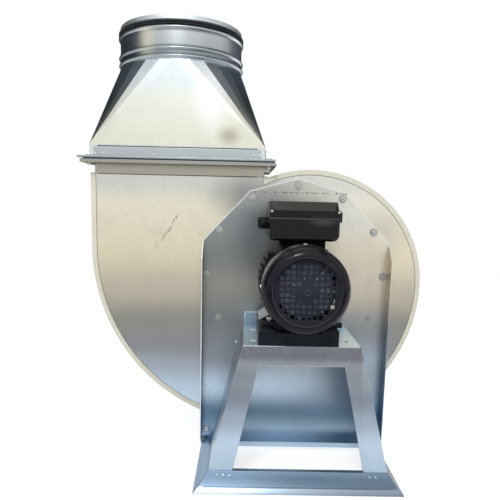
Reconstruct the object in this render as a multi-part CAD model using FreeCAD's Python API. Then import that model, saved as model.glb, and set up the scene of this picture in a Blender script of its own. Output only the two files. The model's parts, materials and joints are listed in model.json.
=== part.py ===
import FreeCAD, Part
import math
import os
from FreeCAD import Vector

# Centrifugal extractor fan for a kitchen hood: a folded sheet scroll casing with its outlet on top,
# a foot mounted motor on a sheet pedestal, and a backward curved impeller on the motor's own shaft.
# Millimetres. X to the right, Y away from the motor's side, Z up.
# The origin is on the floor, straight below the shaft, in the middle plane of the casing.

# Driving dimensions

# Scroll casing, made of two side plates and one wrapper, joined by folded seams
floor_gap = 53.9
depth_margin = 15.0
side_sheet = 1.5
wrapper_sheet = 1.5
scroll_start_radius = 269.0
scroll_side_step = 88.5
scroll_rise_step = 77.6
scroll_centre_right = 32.5
scroll_centre_drop = 23.6
neck_width = 405.0
neck_straight = 0.6
seam_height = 13.0
seam_lip_width = 12.0
seam_lip_sheet = 1.0
seam_fold_sheet = 3.0
service_hole_radius = 206.0

# Bolted duct flanges and the gasket between them
flange_sheet = 2.0
flange_width = 30.0
upper_flange_width = 24.0
flange_leg = 32.0
flange_lip = 8.0
upper_flange_lip = 5.0
leg_setback = 10.0
flange_gasket_sheet = 3.5
flange_bolt_radius = 4.0
flange_bolt_head = 7.5
flange_bolt_head_height = 5.3
flange_bolt_stickout = 6.0

# Square to round transition, a little wider than the neck, and the round outlet spigot
collar_wider_left = 15.0
collar_wider_right = 4.0
collar_height = 33.0
transition_height = 203.0
transition_sheet = 1.5
facets_per_corner = 7
spigot_radius = 157.5
spigot_offset = 15.3
spigot_height = 99.0
spigot_sheet = 1.5
hem_height = 10.0
hem_thickness = 3.5
gasket_groove_height = 12.0
gasket_groove_depth = 2.5
gasket_lip_height = 4.5
bead_height = 4.5
bead_width = 10.0
bead_crown = 3.0

# Inlet side, at the back
inlet_spigot_length = 60.0
inlet_flange_width = 28.0
inlet_screw_count = 8
inlet_screw_radius = 3.0
inlet_screw_head = 6.0
cone_sheet = 1.5
cone_throat_radius = 118.0
cone_throat_length = 45.0
bell_steps = 5

# Impeller with backward curved blades
impeller_radius = 200.0
impeller_sheet = 2.0
blade_count = 10
blade_sheet = 2.0
blade_inner_radius = 112.0
blade_outer_gap = 3.0
blade_arc_radius = 150.0
blade_exit_angle = 35.0
blade_outlet_width = 115.0
eye_running_gap = 5.0
eye_ring_length = 16.0
eye_overlap = 9.5
shroud_rise = 32.0
backplate_gap = 25.0
hub_radius = 26.0
hub_flange_radius = 46.0
hub_flange_thickness = 6.0
hub_length = 38.0
hub_end_washer_radius = 20.0
hub_end_washer_thickness = 3.0
hub_screw_radius = 4.0
hub_screw_head = 7.0
hub_screw_head_height = 5.5
hub_screw_length = 24.0
key_width = 8.0
key_height = 7.0
key_length = 32.0

# Support plate between the motor's side of the casing and the frame
plate_thickness = 2.5
plate_half_width = 231.5
plate_shoulder_rise = 81.0
plate_corner_x = 118.0
plate_corner_rise = 205.0
plate_peak_rise = 237.0
plate_bottom = 22.0
side_flange_depth = 36.0
side_flange_taper = 41.0
bottom_flange_depth = 37.0
bottom_flange_lip = 11.0
plate_shaft_hole = 32.0
plate_bolt_circle_radius = 219.5
plate_bolt_count = 12
plate_bolt_radius = 3.0
plate_bolt_head = 5.0
plate_bolt_head_height = 4.0
plate_washer_radius = 9.0
plate_washer_thickness = 1.6

# Motor pedestal, folded from sheet
pedestal_depth = 212.0
pedestal_sheet = 3.0
platform_half_width = 127.0
top_rail_height = 44.0
top_rail_inset = 34.0
leg_foot_outer = 199.0
leg_foot_inner = 145.0
back_flange_height = 30.0
side_return_width = 20.0
slot_width = 10.0
slot_reach_in = 15.0
slot_reach_out = 31.0
back_flange_bolt_x = 92.0

# Base frame: flared front and side rails, with channel rails under the casing
rail_sheet = 2.0
rail_line = 200.0
rail_height = 38.0
rail_flare_out = 18.0
rail_flare_drop = 27.0
rail_lip_out = 13.0
rail_top_flange = 12.0
rail_foot_return = 20.0
channel_width = 30.0
channel_height = 30.0
rear_rail_end = 160.0
joint_tab_height = 30.0
joint_bolt_inset = 14.0
joint_bolt_rise = 18.0
joint_bolt_radius = 4.0
joint_bolt_head = 6.5
joint_bolt_head_height = 5.3
fixing_hole_radius = 5.5
fixing_half_spacing_y = 105.0
stay_half_width_foot = 140.0
stay_half_width_top = 105.0
stay_overlap = 108.1
stay_sheet = 2.0
stay_foot_depth = 22.0
stay_bolt_half_spacing = 75.0
stay_bolt_low = 33.1
stay_bolt_high = 83.1

# Motor, a foot mounted frame with a shaft height of 90
motor_shaft_height = 90.0
motor_face_gap = 10.0
raiser_height = 35.0
raiser_left_margin = 25.0
raiser_right_margin = 7.5
raiser_width = 35.0
raiser_front_depth = 25.0
raiser_front_height = 29.0
foot_half_spacing = 70.0
foot_hole_spacing = 100.0
foot_shoulder_distance = 56.0
foot_thickness = 12.0
foot_edge_margin = 18.0
foot_inner_margin = 20.0
foot_end_margin = 18.0
foot_web_thickness = 11.0
foot_bolt_radius = 4.0
foot_bolt_clearance = 1.0
foot_bolt_head = 6.5
foot_bolt_head_height = 5.3
foot_nut_height = 6.5
foot_bolt_stickout = 4.0
foot_washer_radius = 8.0
foot_washer_thickness = 1.6
frame_bore_radius = 68.0
frame_wall = 6.0
frame_length = 140.0
fin_tip_radius = 95.0
fin_thickness = 2.5
fin_angle_step = 10.0
fin_top_limit = 0.72
fin_bottom_limit = 0.6
drive_shield_depth = 24.0
fan_shield_depth = 20.0
shield_wall = 6.0
shield_spigot = 4.0
core_length = 90.0
rotor_core_radius = 41.0
air_gap = 0.4
winding_length = 20.0
winding_outer_radius = 64.0
shaft_radius = 12.0
shaft_body_radius = 15.0
bearing_seat_radius = 12.5
bearing_outer_radius = 26.0
bearing_width = 15.0
bearing_inner_thickness = 4.0
bearing_gap = 0.08
fan_seat_radius = 10.0

# Fan cowl with its square grid, and the cooling fan behind it
cowl_radius = 91.4
cowl_sheet = 2.0
cowl_length = 75.5
cowl_nose_length = 23.5
cowl_face_radius = 74.0
cowl_ridge_width = 3.0
cowl_dish = 2.0
cowl_shoulder_steps = 4
grid_pitch = 11.5
grid_hole = 8.3
grid_count = 10
grid_inner_reach = 22.0
grid_outer_reach = 60.5
cowl_boss_radius = 7.0
cowl_boss_height = 1.5
cowl_screw_count = 4
cowl_screw_radius = 3.0
cowl_screw_head = 4.2
cowl_screw_head_height = 2.1
lug_half_width = 7.5
cowl_overlap = 12.0
fan_tip_radius = 76.0
fan_blade_count = 7
fan_blade_thickness = 2.5
fan_width = 26.0
fan_hub_radius = 18.0
fan_disc_thickness = 2.5
fan_disc_radius = 60.0
fan_grid_gap = 12.0

# Terminal and capacitor box on top of the motor
box_half_width = 75.0
box_length = 140.0
box_wall = 2.5
box_floor_rise = 97.0
box_body_height = 50.0
box_edge_round = 10.0
lid_skirt_height = 16.0
lid_bevel_depth = 40.0
lid_bevel_rise = 18.0
lid_overlap = 1.5
pad_half_width = 48.0
pad_length = 100.0
lid_screw_inset = 3.5
lid_screw_rise = 12.5
lid_screw_radius = 2.5
lid_screw_height = 1.5
gland_radius = 14.0
gland_length = 24.0
gland_bore_radius = 6.0
gland_thread_radius = 10.0
gland_nut_radius = 13.0
gland_locknut = 4.0
gland_rise = 35.0
capacitor_radius = 19.0
capacitor_length = 96.0
block_length = 50.0
block_width = 24.0
block_height = 16.0
stud_radius = 2.0
stud_height = 6.0

# Clearance for bolts in their holes, and between pieces that pass each other
bolt_clearance = 0.3
passing_clearance = 2.0

# Planes and places worked out from the driving dimensions
half_depth = spigot_radius + depth_margin / 2
inner_half = half_depth - side_sheet
plate_back = -half_depth
plate_front = plate_back - plate_thickness
second_radius = scroll_start_radius + scroll_side_step
third_radius = second_radius + scroll_rise_step
scroll_bottom = floor_gap + seam_height
shaft_height = scroll_bottom + second_radius + scroll_centre_drop
first_centre = (scroll_centre_right, shaft_height - scroll_centre_drop)
second_centre = (first_centre[0] - scroll_side_step, first_centre[1])
third_centre = (second_centre[0], second_centre[1] + scroll_rise_step)
neck_left = third_centre[0] - third_radius
neck_right = neck_left + neck_width
neck_sides = (neck_left, neck_right)
collar_sides = (neck_left - collar_wider_left, neck_right + collar_wider_right)
outlet_middle = (neck_left + neck_right) / 2 - spigot_offset
seam_run = neck_right + seam_height - first_centre[0]
seam_rise = math.sqrt((scroll_start_radius + seam_height) ** 2 - seam_run ** 2)
rim_top = first_centre[1] + seam_rise + neck_straight
neck_top = rim_top + flange_leg
flange_joint = neck_top + flange_gasket_sheet
collar_top = flange_joint + collar_height
transition_top = collar_top + transition_height
spigot_top = transition_top + spigot_height
motor_face = plate_front - motor_face_gap
frame_front = motor_face - drive_shield_depth
frame_back = frame_front - frame_length
fan_shield_end = frame_back - fan_shield_depth
platform_top = shaft_height - motor_shaft_height - raiser_height
pedestal_front = plate_front - pedestal_depth
leg_slope = (leg_foot_outer - platform_half_width) / (platform_top - rail_height)


def block(x0, x1, y0, y1, z0, z1):
    """A box between two corners."""
    return Part.makeBox(x1 - x0, y1 - y0, z1 - z0, Vector(x0, y0, z0))


def rod(radius, y0, y1, x=0.0, z=shaft_height):
    """A cylinder along Y."""
    return Part.makeCylinder(radius, y1 - y0, Vector(x, y0, z), Vector(0, 1, 0))


def ring(outer, inner, y0, y1, x=0.0, z=shaft_height):
    """A tube along Y."""
    return rod(outer, y0, y1, x, z).cut(rod(inner, y0 - 1, y1 + 1, x, z))


def post(radius, z0, z1, x, y):
    """A cylinder along Z."""
    return Part.makeCylinder(radius, z1 - z0, Vector(x, y, z0), Vector(0, 0, 1))


def hexagon(across, start, length, axis):
    """A hexagonal head: across is the distance from its middle to a corner."""
    reference = Vector(1, 0, 0) if abs(axis.x) < 0.5 else Vector(0, 1, 0)
    side = axis.cross(reference)
    corners = []
    for step in range(7):
        angle = math.radians(60 * step)
        corners.append(start + reference * (across * math.cos(angle)) + side * (across * math.sin(angle)))
    return Part.Face(Part.makePolygon(corners)).extrude(axis * length)


def flat_prism(points, y0, y1):
    """A sheet cut to an outline in X and Z."""
    corners = [Vector(x, y0, z) for x, z in points]
    return Part.Face(Part.makePolygon(corners + corners[:1])).extrude(Vector(0, y1 - y0, 0))


def side_prism(points, x0, x1):
    """A sheet cut to an outline in Y and Z."""
    corners = [Vector(x0, y, z) for y, z in points]
    return Part.Face(Part.makePolygon(corners + corners[:1])).extrude(Vector(x1 - x0, 0, 0))


def turned(points):
    """A piece turned about the shaft, from its outline in radius and Y."""
    corners = [Vector(radius, y, shaft_height) for radius, y in points]
    face = Part.Face(Part.makePolygon(corners + corners[:1]))
    return face.revolve(Vector(0, 0, shaft_height), Vector(0, 1, 0), 360)


def joined(solids):
    """Several overlapping or touching solids as one."""
    whole = solids[0]
    for solid in solids[1:]:
        whole = whole.fuse(solid)
    return whole.removeSplitter()


def group(solids):
    """Separate solids kept in one node."""
    return Part.makeCompound(solids)


def save(shape, node):
    """Write one node."""
    shape.exportStep("parts/" + node + ".step")


def around(count, radius, start=0.0):
    """Places in X and Z, evenly round the shaft."""
    places = []
    for step in range(count):
        angle = math.radians(start + 360.0 * step / count)
        places.append((radius * math.cos(angle), shaft_height + radius * math.sin(angle)))
    return places


def mirrored(shape):
    """The same piece on the other side of the shaft."""
    return shape.mirror(Vector(0, 0, 0), Vector(1, 0, 0))


def sheet_outline(points, thickness):
    """A folded sheet's closed section, thickened to the right of its line, with mitred folds."""
    inner = []
    last = len(points) - 1
    for index, (x, z) in enumerate(points):
        normals = []
        if index > 0:
            normals.append(right_normal(points[index - 1], points[index]))
        if index < last:
            normals.append(right_normal(points[index], points[index + 1]))
        mean_x = sum(normal[0] for normal in normals) / len(normals)
        mean_z = sum(normal[1] for normal in normals) / len(normals)
        stretch = thickness / (mean_x ** 2 + mean_z ** 2)
        inner.append((x + mean_x * stretch, z + mean_z * stretch))
    return points + inner[::-1]


def right_normal(start, end):
    """The unit vector to the right of a line."""
    run = math.hypot(end[0] - start[0], end[1] - start[1])
    return ((end[1] - start[1]) / run, (start[0] - end[0]) / run)


# Scroll casing

def scroll_prism(offset, top, y0, y1):
    """The casing's outline, three arcs and the neck, moved outwards and drawn out along Y."""
    (ax, az), (bx, bz), (cx, cz) = first_centre, second_centre, third_centre
    first = scroll_start_radius + offset
    second = second_radius + offset
    third = third_radius + offset
    right = neck_right + offset
    tongue = az + math.sqrt(first ** 2 - (right - ax) ** 2)
    middle = math.radians(45)
    corner = Vector(right, y0, top)
    start = Vector(right, y0, tongue)
    start_angle = math.atan2(tongue - az, right - ax) / 2
    shoulder = Vector(ax + first * math.cos(start_angle), y0, az + first * math.sin(start_angle))
    side = Vector(ax + first, y0, az)
    lower_right = Vector(bx + second * math.cos(middle), y0, bz - second * math.sin(middle))
    bottom = Vector(bx, y0, bz - second)
    lower_left = Vector(cx - third * math.cos(middle), y0, cz - third * math.sin(middle))
    left = Vector(cx - third, y0, cz)
    end = Vector(cx - third, y0, top)
    edges = [
        Part.LineSegment(corner, start).toShape(),
        Part.Arc(start, shoulder, side).toShape(),
        Part.Arc(side, lower_right, bottom).toShape(),
        Part.Arc(bottom, lower_left, left).toShape(),
        Part.LineSegment(left, end).toShape(),
        Part.LineSegment(end, corner).toShape(),
    ]
    return Part.Face(Part.Wire(edges)).extrude(Vector(0, y1 - y0, 0))


def side_plate(inner_face, outer_face):
    """One side of the casing, with its edge inside the folded seam and a plain neck above it."""
    low = min(inner_face, outer_face)
    high = max(inner_face, outer_face)
    rimmed = scroll_prism(seam_height - seam_lip_sheet, rim_top - seam_lip_sheet, low, high)
    return joined([rimmed, scroll_prism(0, neck_top, low, high)])


def make_drive_side_plate():
    plate = side_plate(-inner_half, -half_depth)
    plate = plate.cut(rod(service_hole_radius, -half_depth - 1, -inner_half + 1))
    for x, z in around(plate_bolt_count, plate_bolt_circle_radius):
        plate = plate.cut(rod(plate_bolt_radius + bolt_clearance, -half_depth - 1, -inner_half + 1, x, z))
    return plate


def make_inlet_side_plate():
    plate = side_plate(inner_half, half_depth)
    plate = plate.cut(rod(inlet_opening_radius, inner_half - 1, half_depth + 1))
    for x, z in inlet_screw_places:
        plate = plate.cut(rod(inlet_screw_radius + bolt_clearance, inner_half - 1, half_depth + 1, x, z))
    for x, z in stay_bolt_places:
        plate = plate.cut(rod(plate_bolt_radius + bolt_clearance, inner_half - 1, half_depth + 1, x, z))
    return plate


def make_scroll_wrapper():
    outside = scroll_prism(0, neck_top, -inner_half, inner_half)
    inside = scroll_prism(-wrapper_sheet, neck_top + 1, -inner_half - 1, inner_half + 1)
    return outside.cut(inside)


def make_seam_rim():
    """The folded seam round the motor's side: a lip in front, the turned edge, and the fold behind."""
    lip_front = -half_depth - seam_lip_sheet
    fold_back = -inner_half + seam_fold_sheet
    rim = scroll_prism(seam_height, rim_top, lip_front, fold_back)
    above = rim_top + 1
    rim = rim.cut(scroll_prism(seam_height - seam_lip_width, above, lip_front - 1, -half_depth))
    rim = rim.cut(scroll_prism(seam_height - seam_lip_sheet, above, -half_depth, -inner_half))
    return rim.cut(scroll_prism(0, above, -inner_half, fold_back + 1))


def make_drive_seam_rim():
    """The lip is left out where the support plate lies on the casing."""
    return make_seam_rim().cut(support_outline(bolt_clearance, -half_depth - seam_height, -half_depth))


def make_inlet_seam_rim():
    """The same seam at the back, with its lip left out behind the stay."""
    rim = make_seam_rim().mirror(Vector(0, 0, 0), Vector(0, 1, 0))
    return rim.cut(stay_outline(bolt_clearance, half_depth, half_depth + seam_height))


# Duct flanges, gasket and transition

def wall_frame(sides, inset, outset, z0, z1):
    """A rectangular frame round the neck or the collar."""
    left, right = sides
    near = -half_depth
    far = half_depth
    outside = block(left - outset, right + outset, near - outset, far + outset, z0, z1)
    inside = block(left + inset, right - inset, near + inset, far - inset, z0 - 1, z1 + 1)
    return outside.cut(inside)


def flange_corner_places():
    reach = upper_flange_width / 2
    places = []
    for x in (neck_left - reach, neck_right + reach):
        for y in (-half_depth - reach, half_depth + reach):
            places.append((x, y))
    return places


def corner_holes(shape, z0, z1):
    for x, y in flange_corner_places():
        shape = shape.cut(post(flange_bolt_radius + bolt_clearance, z0 - 1, z1 + 1, x, y))
    return shape


def make_outlet_flange():
    """An angle frame round the neck: a leg on the neck, a flange on top and a lip turned down."""
    leg = wall_frame(neck_sides, 0, flange_sheet, neck_top - flange_leg, neck_top)
    top = wall_frame(neck_sides, 0, flange_width, neck_top - flange_sheet, neck_top)
    lip = wall_frame(neck_sides, -flange_width + flange_sheet, flange_width, neck_top - flange_lip, neck_top)
    return corner_holes(joined([leg, top, lip]), neck_top - flange_sheet, neck_top)


def make_flange_gasket():
    strip = wall_frame(neck_sides, 0, upper_flange_width, neck_top, flange_joint)
    return corner_holes(strip, neck_top, flange_joint)


def make_transition_flange():
    """The same angle frame turned over, round the collar of the transition, its legs short of the corners."""
    low = flange_joint
    leg_top = low + flange_leg - flange_gasket_sheet
    leg = wall_frame(collar_sides, 0, flange_sheet, low, leg_top)
    for x in collar_sides:
        for y in (-half_depth, half_depth):
            leg = leg.cut(block(x - leg_setback, x + leg_setback, y - leg_setback, y + leg_setback,
                                low + flange_sheet, leg_top + 1))
    width = upper_flange_width
    bottom = wall_frame(collar_sides, 0, width, low, low + flange_sheet)
    lip = wall_frame(collar_sides, -width + flange_sheet, width, low, low + upper_flange_lip)
    return corner_holes(joined([leg, bottom, lip]), flange_joint, flange_joint + flange_sheet)


def make_flange_corner_bolts():
    """A bolt with its nut at each corner of the two flanges."""
    bolts = []
    head_height = flange_bolt_head_height
    grip_top = flange_joint + flange_sheet
    grip_bottom = neck_top - flange_sheet
    for x, y in flange_corner_places():
        shank = post(flange_bolt_radius, grip_bottom - head_height - flange_bolt_stickout, grip_top, x, y)
        head = hexagon(flange_bolt_head, Vector(x, y, grip_top), head_height, Vector(0, 0, 1))
        nut = hexagon(flange_bolt_head, Vector(x, y, grip_bottom - head_height), head_height, Vector(0, 0, 1))
        bolts.append(joined([shank, head, nut]))
    return group(bolts)


def transition_body(inset):
    """The square to round body as a closed solid: one flat triangle a side, and facets at each corner."""
    left = collar_sides[0] + inset
    right = collar_sides[1] - inset
    near = -half_depth + inset
    far = half_depth - inset
    corners = [Vector(right, far, collar_top), Vector(left, far, collar_top)]
    corners += [Vector(left, near, collar_top), Vector(right, near, collar_top)]
    radius = spigot_radius - inset
    points = []
    for step in range(4 * facets_per_corner):
        angle = math.radians(90.0 * step / facets_per_corner)
        across = radius * math.cos(angle)
        points.append(Vector(outlet_middle + across, radius * math.sin(angle), transition_top))
    faces = [triangle_fan(corners), triangle_fan(points)]
    for side, corner in enumerate(corners):
        for facet in range(facets_per_corner):
            first = points[side * facets_per_corner + facet]
            second = points[(side * facets_per_corner + facet + 1) % len(points)]
            faces.append(triangle_fan([corner, first, second]))
        apex = points[((side + 1) * facets_per_corner) % len(points)]
        faces.append(triangle_fan([corner, apex, corners[(side + 1) % 4]]))
    solid = Part.makeSolid(Part.makeShell(faces))
    if solid.Volume < 0:
        solid.reverse()
    return solid


def triangle_fan(corners):
    return Part.Face(Part.makePolygon(corners + corners[:1]))


def make_transition_duct():
    collar = wall_frame(collar_sides, transition_sheet, 0, flange_joint, collar_top)
    body = transition_body(0).cut(transition_body(transition_sheet))
    return joined([collar, body])


# Round outlet spigot

def bead(middle, radius):
    """The four points of a rolled bead, from its start to its end along the spigot."""
    half = bead_width / 2
    crown = bead_crown / 2
    top = radius + bead_height
    return [(radius, middle - half), (top, middle - crown), (top, middle + crown), (radius, middle + half)]


def spigot_wall(radius):
    """One face of the spigot's wall up to the groove: two beads at its foot and one under the gasket."""
    low = transition_top + bead_width / 2 + flange_sheet
    upper = low + 2 * bead_width
    under_gasket = groove_bottom - bead_width / 2
    points = [(radius, transition_top)]
    for middle in (low, upper, under_gasket):
        points += bead(middle, radius)
    return points


def spun(outline):
    """A piece turned about the spigot's axis, from its outline in radius and Z."""
    corners = [Vector(outlet_middle + radius, 0, z) for radius, z in outline]
    face = Part.Face(Part.makePolygon(corners + corners[:1]))
    return face.revolve(Vector(outlet_middle, 0, 0), Vector(0, 0, 1), 360)


groove_top = spigot_top - hem_height
groove_bottom = groove_top - gasket_groove_height
groove_radius = spigot_radius - gasket_groove_depth


def make_outlet_spigot():
    """A round wall with rolled beads, a groove for the gasket and a hemmed end."""
    inside = spigot_radius - spigot_sheet
    hem_inside = spigot_radius - hem_thickness
    outline = spigot_wall(spigot_radius)
    outline += [(groove_radius, groove_bottom), (groove_radius, groove_top), (spigot_radius, groove_top)]
    outline += [(spigot_radius, spigot_top), (hem_inside, spigot_top)]
    outline += [(hem_inside - spigot_sheet / 2, groove_top), (groove_radius - spigot_sheet, groove_bottom)]
    return spun(outline + spigot_wall(inside)[::-1])


def make_spigot_gasket():
    """A rubber ring in the groove, with two lips that lean back from the end of the spigot."""
    tip = spigot_radius + gasket_lip_height
    half = gasket_groove_height / 2
    outline = [(groove_radius, groove_bottom)]
    for foot in (groove_bottom, groove_bottom + half):
        outline += [(spigot_radius, foot), (tip, foot + half / 4), (tip, foot + half / 2)]
    return spun(outline + [(spigot_radius, groove_top), (groove_radius, groove_top)])


# Inlet side

inlet_opening_radius = spigot_radius - spigot_sheet
inlet_flange_radius = spigot_radius + inlet_flange_width
inlet_screw_circle = spigot_radius + inlet_flange_width / 2
inlet_screw_places = around(inlet_screw_count, inlet_screw_circle, 180.0 / inlet_screw_count)


def make_inlet_spigot():
    """A flanged collar on the back of the casing, with a hem at its end."""
    end = half_depth + inlet_spigot_length
    inside = spigot_radius - spigot_sheet
    outline = [(inside, half_depth), (inlet_flange_radius, half_depth)]
    outline += [(inlet_flange_radius, half_depth + flange_sheet), (spigot_radius, half_depth + flange_sheet)]
    outline += [(spigot_radius, end), (spigot_radius - hem_thickness, end)]
    outline += [(spigot_radius - hem_thickness, end - hem_height), (inside, end - hem_height)]
    collar = turned(outline)
    for x, z in inlet_screw_places:
        collar = collar.cut(rod(inlet_screw_radius + bolt_clearance, half_depth - 1, end, x, z))
    return collar


def bell_line(inset, mouth_plane):
    """One face of the bell mouth, a quarter of an ellipse in straight steps, from throat to mouth."""
    narrow = cone_throat_radius + inset
    throat_end = shroud_neck + eye_ring_length - eye_overlap
    bell_end = throat_end + cone_throat_length
    points = [(narrow, throat_end)]
    for step in range(bell_steps + 1):
        angle = math.radians(90.0 * step / bell_steps)
        radius = narrow + (inlet_opening_radius + inset - narrow) * (1 - math.cos(angle))
        points.append((radius, bell_end + (mouth_plane - bell_end) * math.sin(angle)))
    return points


def make_inlet_cone():
    """A bell mouth that leads the air from the inlet into the eye of the impeller."""
    flange_face = inner_half - cone_sheet
    rim = [(inlet_flange_radius, inner_half), (inlet_flange_radius, flange_face)]
    cone = turned(bell_line(0, inner_half) + rim + bell_line(cone_sheet, flange_face)[::-1])
    for x, z in inlet_screw_places:
        cone = cone.cut(rod(inlet_screw_radius + bolt_clearance, flange_face - 1, inner_half + 1, x, z))
    return cone


def make_inlet_screws():
    screws = []
    face = half_depth + flange_sheet
    tip = inner_half - cone_sheet - inlet_screw_radius * 2
    for x, z in inlet_screw_places:
        head = hexagon(inlet_screw_head, Vector(x, face, z), plate_bolt_head_height, Vector(0, 1, 0))
        screws.append(joined([head, rod(inlet_screw_radius, tip, face, x, z)]))
    return group(screws)


# Impeller

backplate_front = -inner_half + backplate_gap
backplate_back = backplate_front + impeller_sheet
shroud_foot = backplate_back + blade_outlet_width
eye_radius = cone_throat_radius + cone_sheet + eye_running_gap
shroud_neck = shroud_foot + shroud_rise


def make_impeller_backplate():
    disc = ring(impeller_radius, hub_radius + bolt_clearance, backplate_front, backplate_back)
    return disc


def make_impeller_shroud():
    """A flat cone with a short ring at the eye, which runs round the end of the inlet cone."""
    ring_end = shroud_neck + eye_ring_length
    outline = [(impeller_radius, shroud_foot), (impeller_radius, shroud_foot + impeller_sheet)]
    outline += [(eye_radius + impeller_sheet, shroud_neck + impeller_sheet)]
    outline += [(eye_radius + impeller_sheet, ring_end), (eye_radius, ring_end), (eye_radius, shroud_neck)]
    return turned(outline)


def blade_section(y0, y1):
    """One blade's curved strip: an arc whose tip trails, as the impeller turns from +Z towards +X."""
    outer = impeller_radius - blade_outer_gap
    exit_angle = math.radians(blade_exit_angle)
    tip = Vector(outer, 0, 0)
    centre = tip + Vector(-math.cos(exit_angle), math.sin(exit_angle), 0) * blade_arc_radius
    start = blade_crossing(centre, blade_arc_radius, blade_inner_radius)
    middle = blade_crossing(centre, blade_arc_radius, (outer + blade_inner_radius) / 2)
    inner_arc = blade_arc_radius - blade_sheet
    strips = []
    for point in (start, middle, tip):
        towards = (point - centre).normalize()
        strips.append((centre + towards * inner_arc, point))
    placed = [[Vector(p.x, y0, shaft_height + p.y) for p in pair] for pair in strips]
    edges = [Part.Arc(placed[0][1], placed[1][1], placed[2][1]).toShape()]
    edges.append(Part.LineSegment(placed[2][1], placed[2][0]).toShape())
    edges.append(Part.Arc(placed[2][0], placed[1][0], placed[0][0]).toShape())
    edges.append(Part.LineSegment(placed[0][0], placed[0][1]).toShape())
    return Part.Face(Part.Wire(edges)).extrude(Vector(0, y1 - y0, 0))


def blade_crossing(centre, arc_radius, radius):
    """Where the blade's arc crosses a circle round the shaft, on the side that leans back."""
    distance = math.hypot(centre.x, centre.y)
    along = (radius ** 2 - arc_radius ** 2 + distance ** 2) / (2 * distance)
    across = math.sqrt(max(radius ** 2 - along ** 2, 0.0))
    direction = Vector(centre.x / distance, centre.y / distance, 0)
    return direction * along + Vector(direction.y, -direction.x, 0) * across


def make_impeller_blades():
    """The blades fill the room between the backplate and the shroud."""
    room = turned([
        (blade_inner_radius - blade_sheet * 2, backplate_back),
        (impeller_radius, backplate_back),
        (impeller_radius, shroud_foot),
        (eye_radius, shroud_neck),
        (blade_inner_radius - blade_sheet * 2, shroud_neck),
    ])
    blade = blade_section(backplate_back, shroud_neck + 1).common(room)
    blades = []
    for step in range(blade_count):
        copy = blade.copy()
        copy.rotate(Vector(0, 0, shaft_height), Vector(0, 1, 0), 360.0 * step / blade_count)
        blades.append(copy)
    return group(blades)


def make_impeller_hub():
    """A flanged boss keyed to the shaft, with its flange on the front of the backplate."""
    flange_start = backplate_front - hub_flange_thickness
    boss = rod(hub_radius, flange_start, flange_start + hub_length)
    hub = joined([boss, rod(hub_flange_radius, flange_start, backplate_front)])
    hub = hub.cut(rod(shaft_radius, flange_start - 1, flange_start + hub_length + 1))
    key_top = shaft_height + shaft_radius + key_height / 2
    keyway = block(-key_width / 2, key_width / 2, flange_start - 1, flange_start + hub_length + 1,
                   shaft_height, key_top)
    return hub.cut(keyway)


hub_end = backplate_front - hub_flange_thickness + hub_length
shaft_end = hub_end - hub_end_washer_thickness / 2


def make_shaft_key():
    low = shaft_height + shaft_radius - key_height / 2
    return block(-key_width / 2, key_width / 2, hub_end - key_length, hub_end, low, low + key_height)


def make_hub_screw():
    """A washer and screw in the end of the shaft, which hold the hub on."""
    face = hub_end + hub_end_washer_thickness
    washer = rod(hub_end_washer_radius, hub_end, face)
    head = hexagon(hub_screw_head, Vector(0, face, shaft_height), hub_screw_head_height, Vector(0, 1, 0))
    return joined([washer, head, rod(hub_screw_radius, face - hub_screw_length, face)])


# Support plate

def support_outline(extra, y0, y1):
    half = plate_half_width + extra
    points = [(-half, plate_bottom - extra), (-half, shaft_height + plate_shoulder_rise + extra)]
    points += [(-plate_corner_x - extra, shaft_height + plate_corner_rise + extra)]
    points += [(0, shaft_height + plate_peak_rise + extra)]
    points += [(plate_corner_x + extra, shaft_height + plate_corner_rise + extra)]
    points += [(half, shaft_height + plate_shoulder_rise + extra), (half, plate_bottom - extra)]
    return flat_prism(points, y0, y1)


def make_support_plate():
    """A big plate with side flanges that taper to nothing at the top, and a flange along the bottom."""
    sheet = support_outline(0, plate_front, plate_back)
    shoulder = shaft_height + plate_shoulder_rise
    edge = plate_front - side_flange_depth
    outline = [(plate_back, plate_bottom), (plate_back, shoulder), (plate_front, shoulder)]
    outline += [(edge, shoulder - side_flange_taper), (edge, plate_bottom)]
    flange = side_prism(outline, plate_half_width - plate_thickness, plate_half_width)
    reach = rail_line - rail_top_flange - passing_clearance
    front = plate_front - bottom_flange_depth
    shelf = block(-reach, reach, front, plate_back, plate_bottom, plate_bottom + plate_thickness)
    lip = block(-reach, reach, front, front + plate_thickness, plate_bottom - bottom_flange_lip,
                plate_bottom + plate_thickness)
    plate = joined([sheet, flange, mirrored(flange), shelf, lip])
    plate = plate.cut(rod(plate_shaft_hole, plate_front - 1, plate_back + 1))
    for x, z in around(plate_bolt_count, plate_bolt_circle_radius):
        plate = plate.cut(rod(plate_bolt_radius + bolt_clearance, plate_front - 1, plate_back + 1, x, z))
    for x, z in joint_bolt_places:
        plate = plate.cut(rod(joint_bolt_radius + bolt_clearance, plate_front - 1, plate_back + 1, x, z))
    for x, z in back_flange_places:
        plate = plate.cut(rod(plate_bolt_radius + bolt_clearance, plate_front - 1, plate_back + 1, x, z))
    return plate


def plate_fastener(x, z, face, tip):
    """A hexagon bolt along Y, with its head towards the motor's side."""
    tall = plate_bolt_head_height
    head = hexagon(plate_bolt_head, Vector(x, face - tall, z), tall, Vector(0, 1, 0))
    return joined([head, rod(plate_bolt_radius, face, tip, x, z)])


def make_support_plate_bolts():
    face = plate_front - plate_washer_thickness
    tip = -inner_half + plate_bolt_radius * 2
    places = around(plate_bolt_count, plate_bolt_circle_radius)
    return group([plate_fastener(x, z, face, tip) for x, z in places])


def make_support_plate_washers():
    washers = []
    for x, z in around(plate_bolt_count, plate_bolt_circle_radius):
        washers.append(ring(plate_washer_radius, plate_bolt_radius + bolt_clearance,
                            plate_front - plate_washer_thickness, plate_front, x, z))
    return group(washers)


# Pedestal

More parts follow.
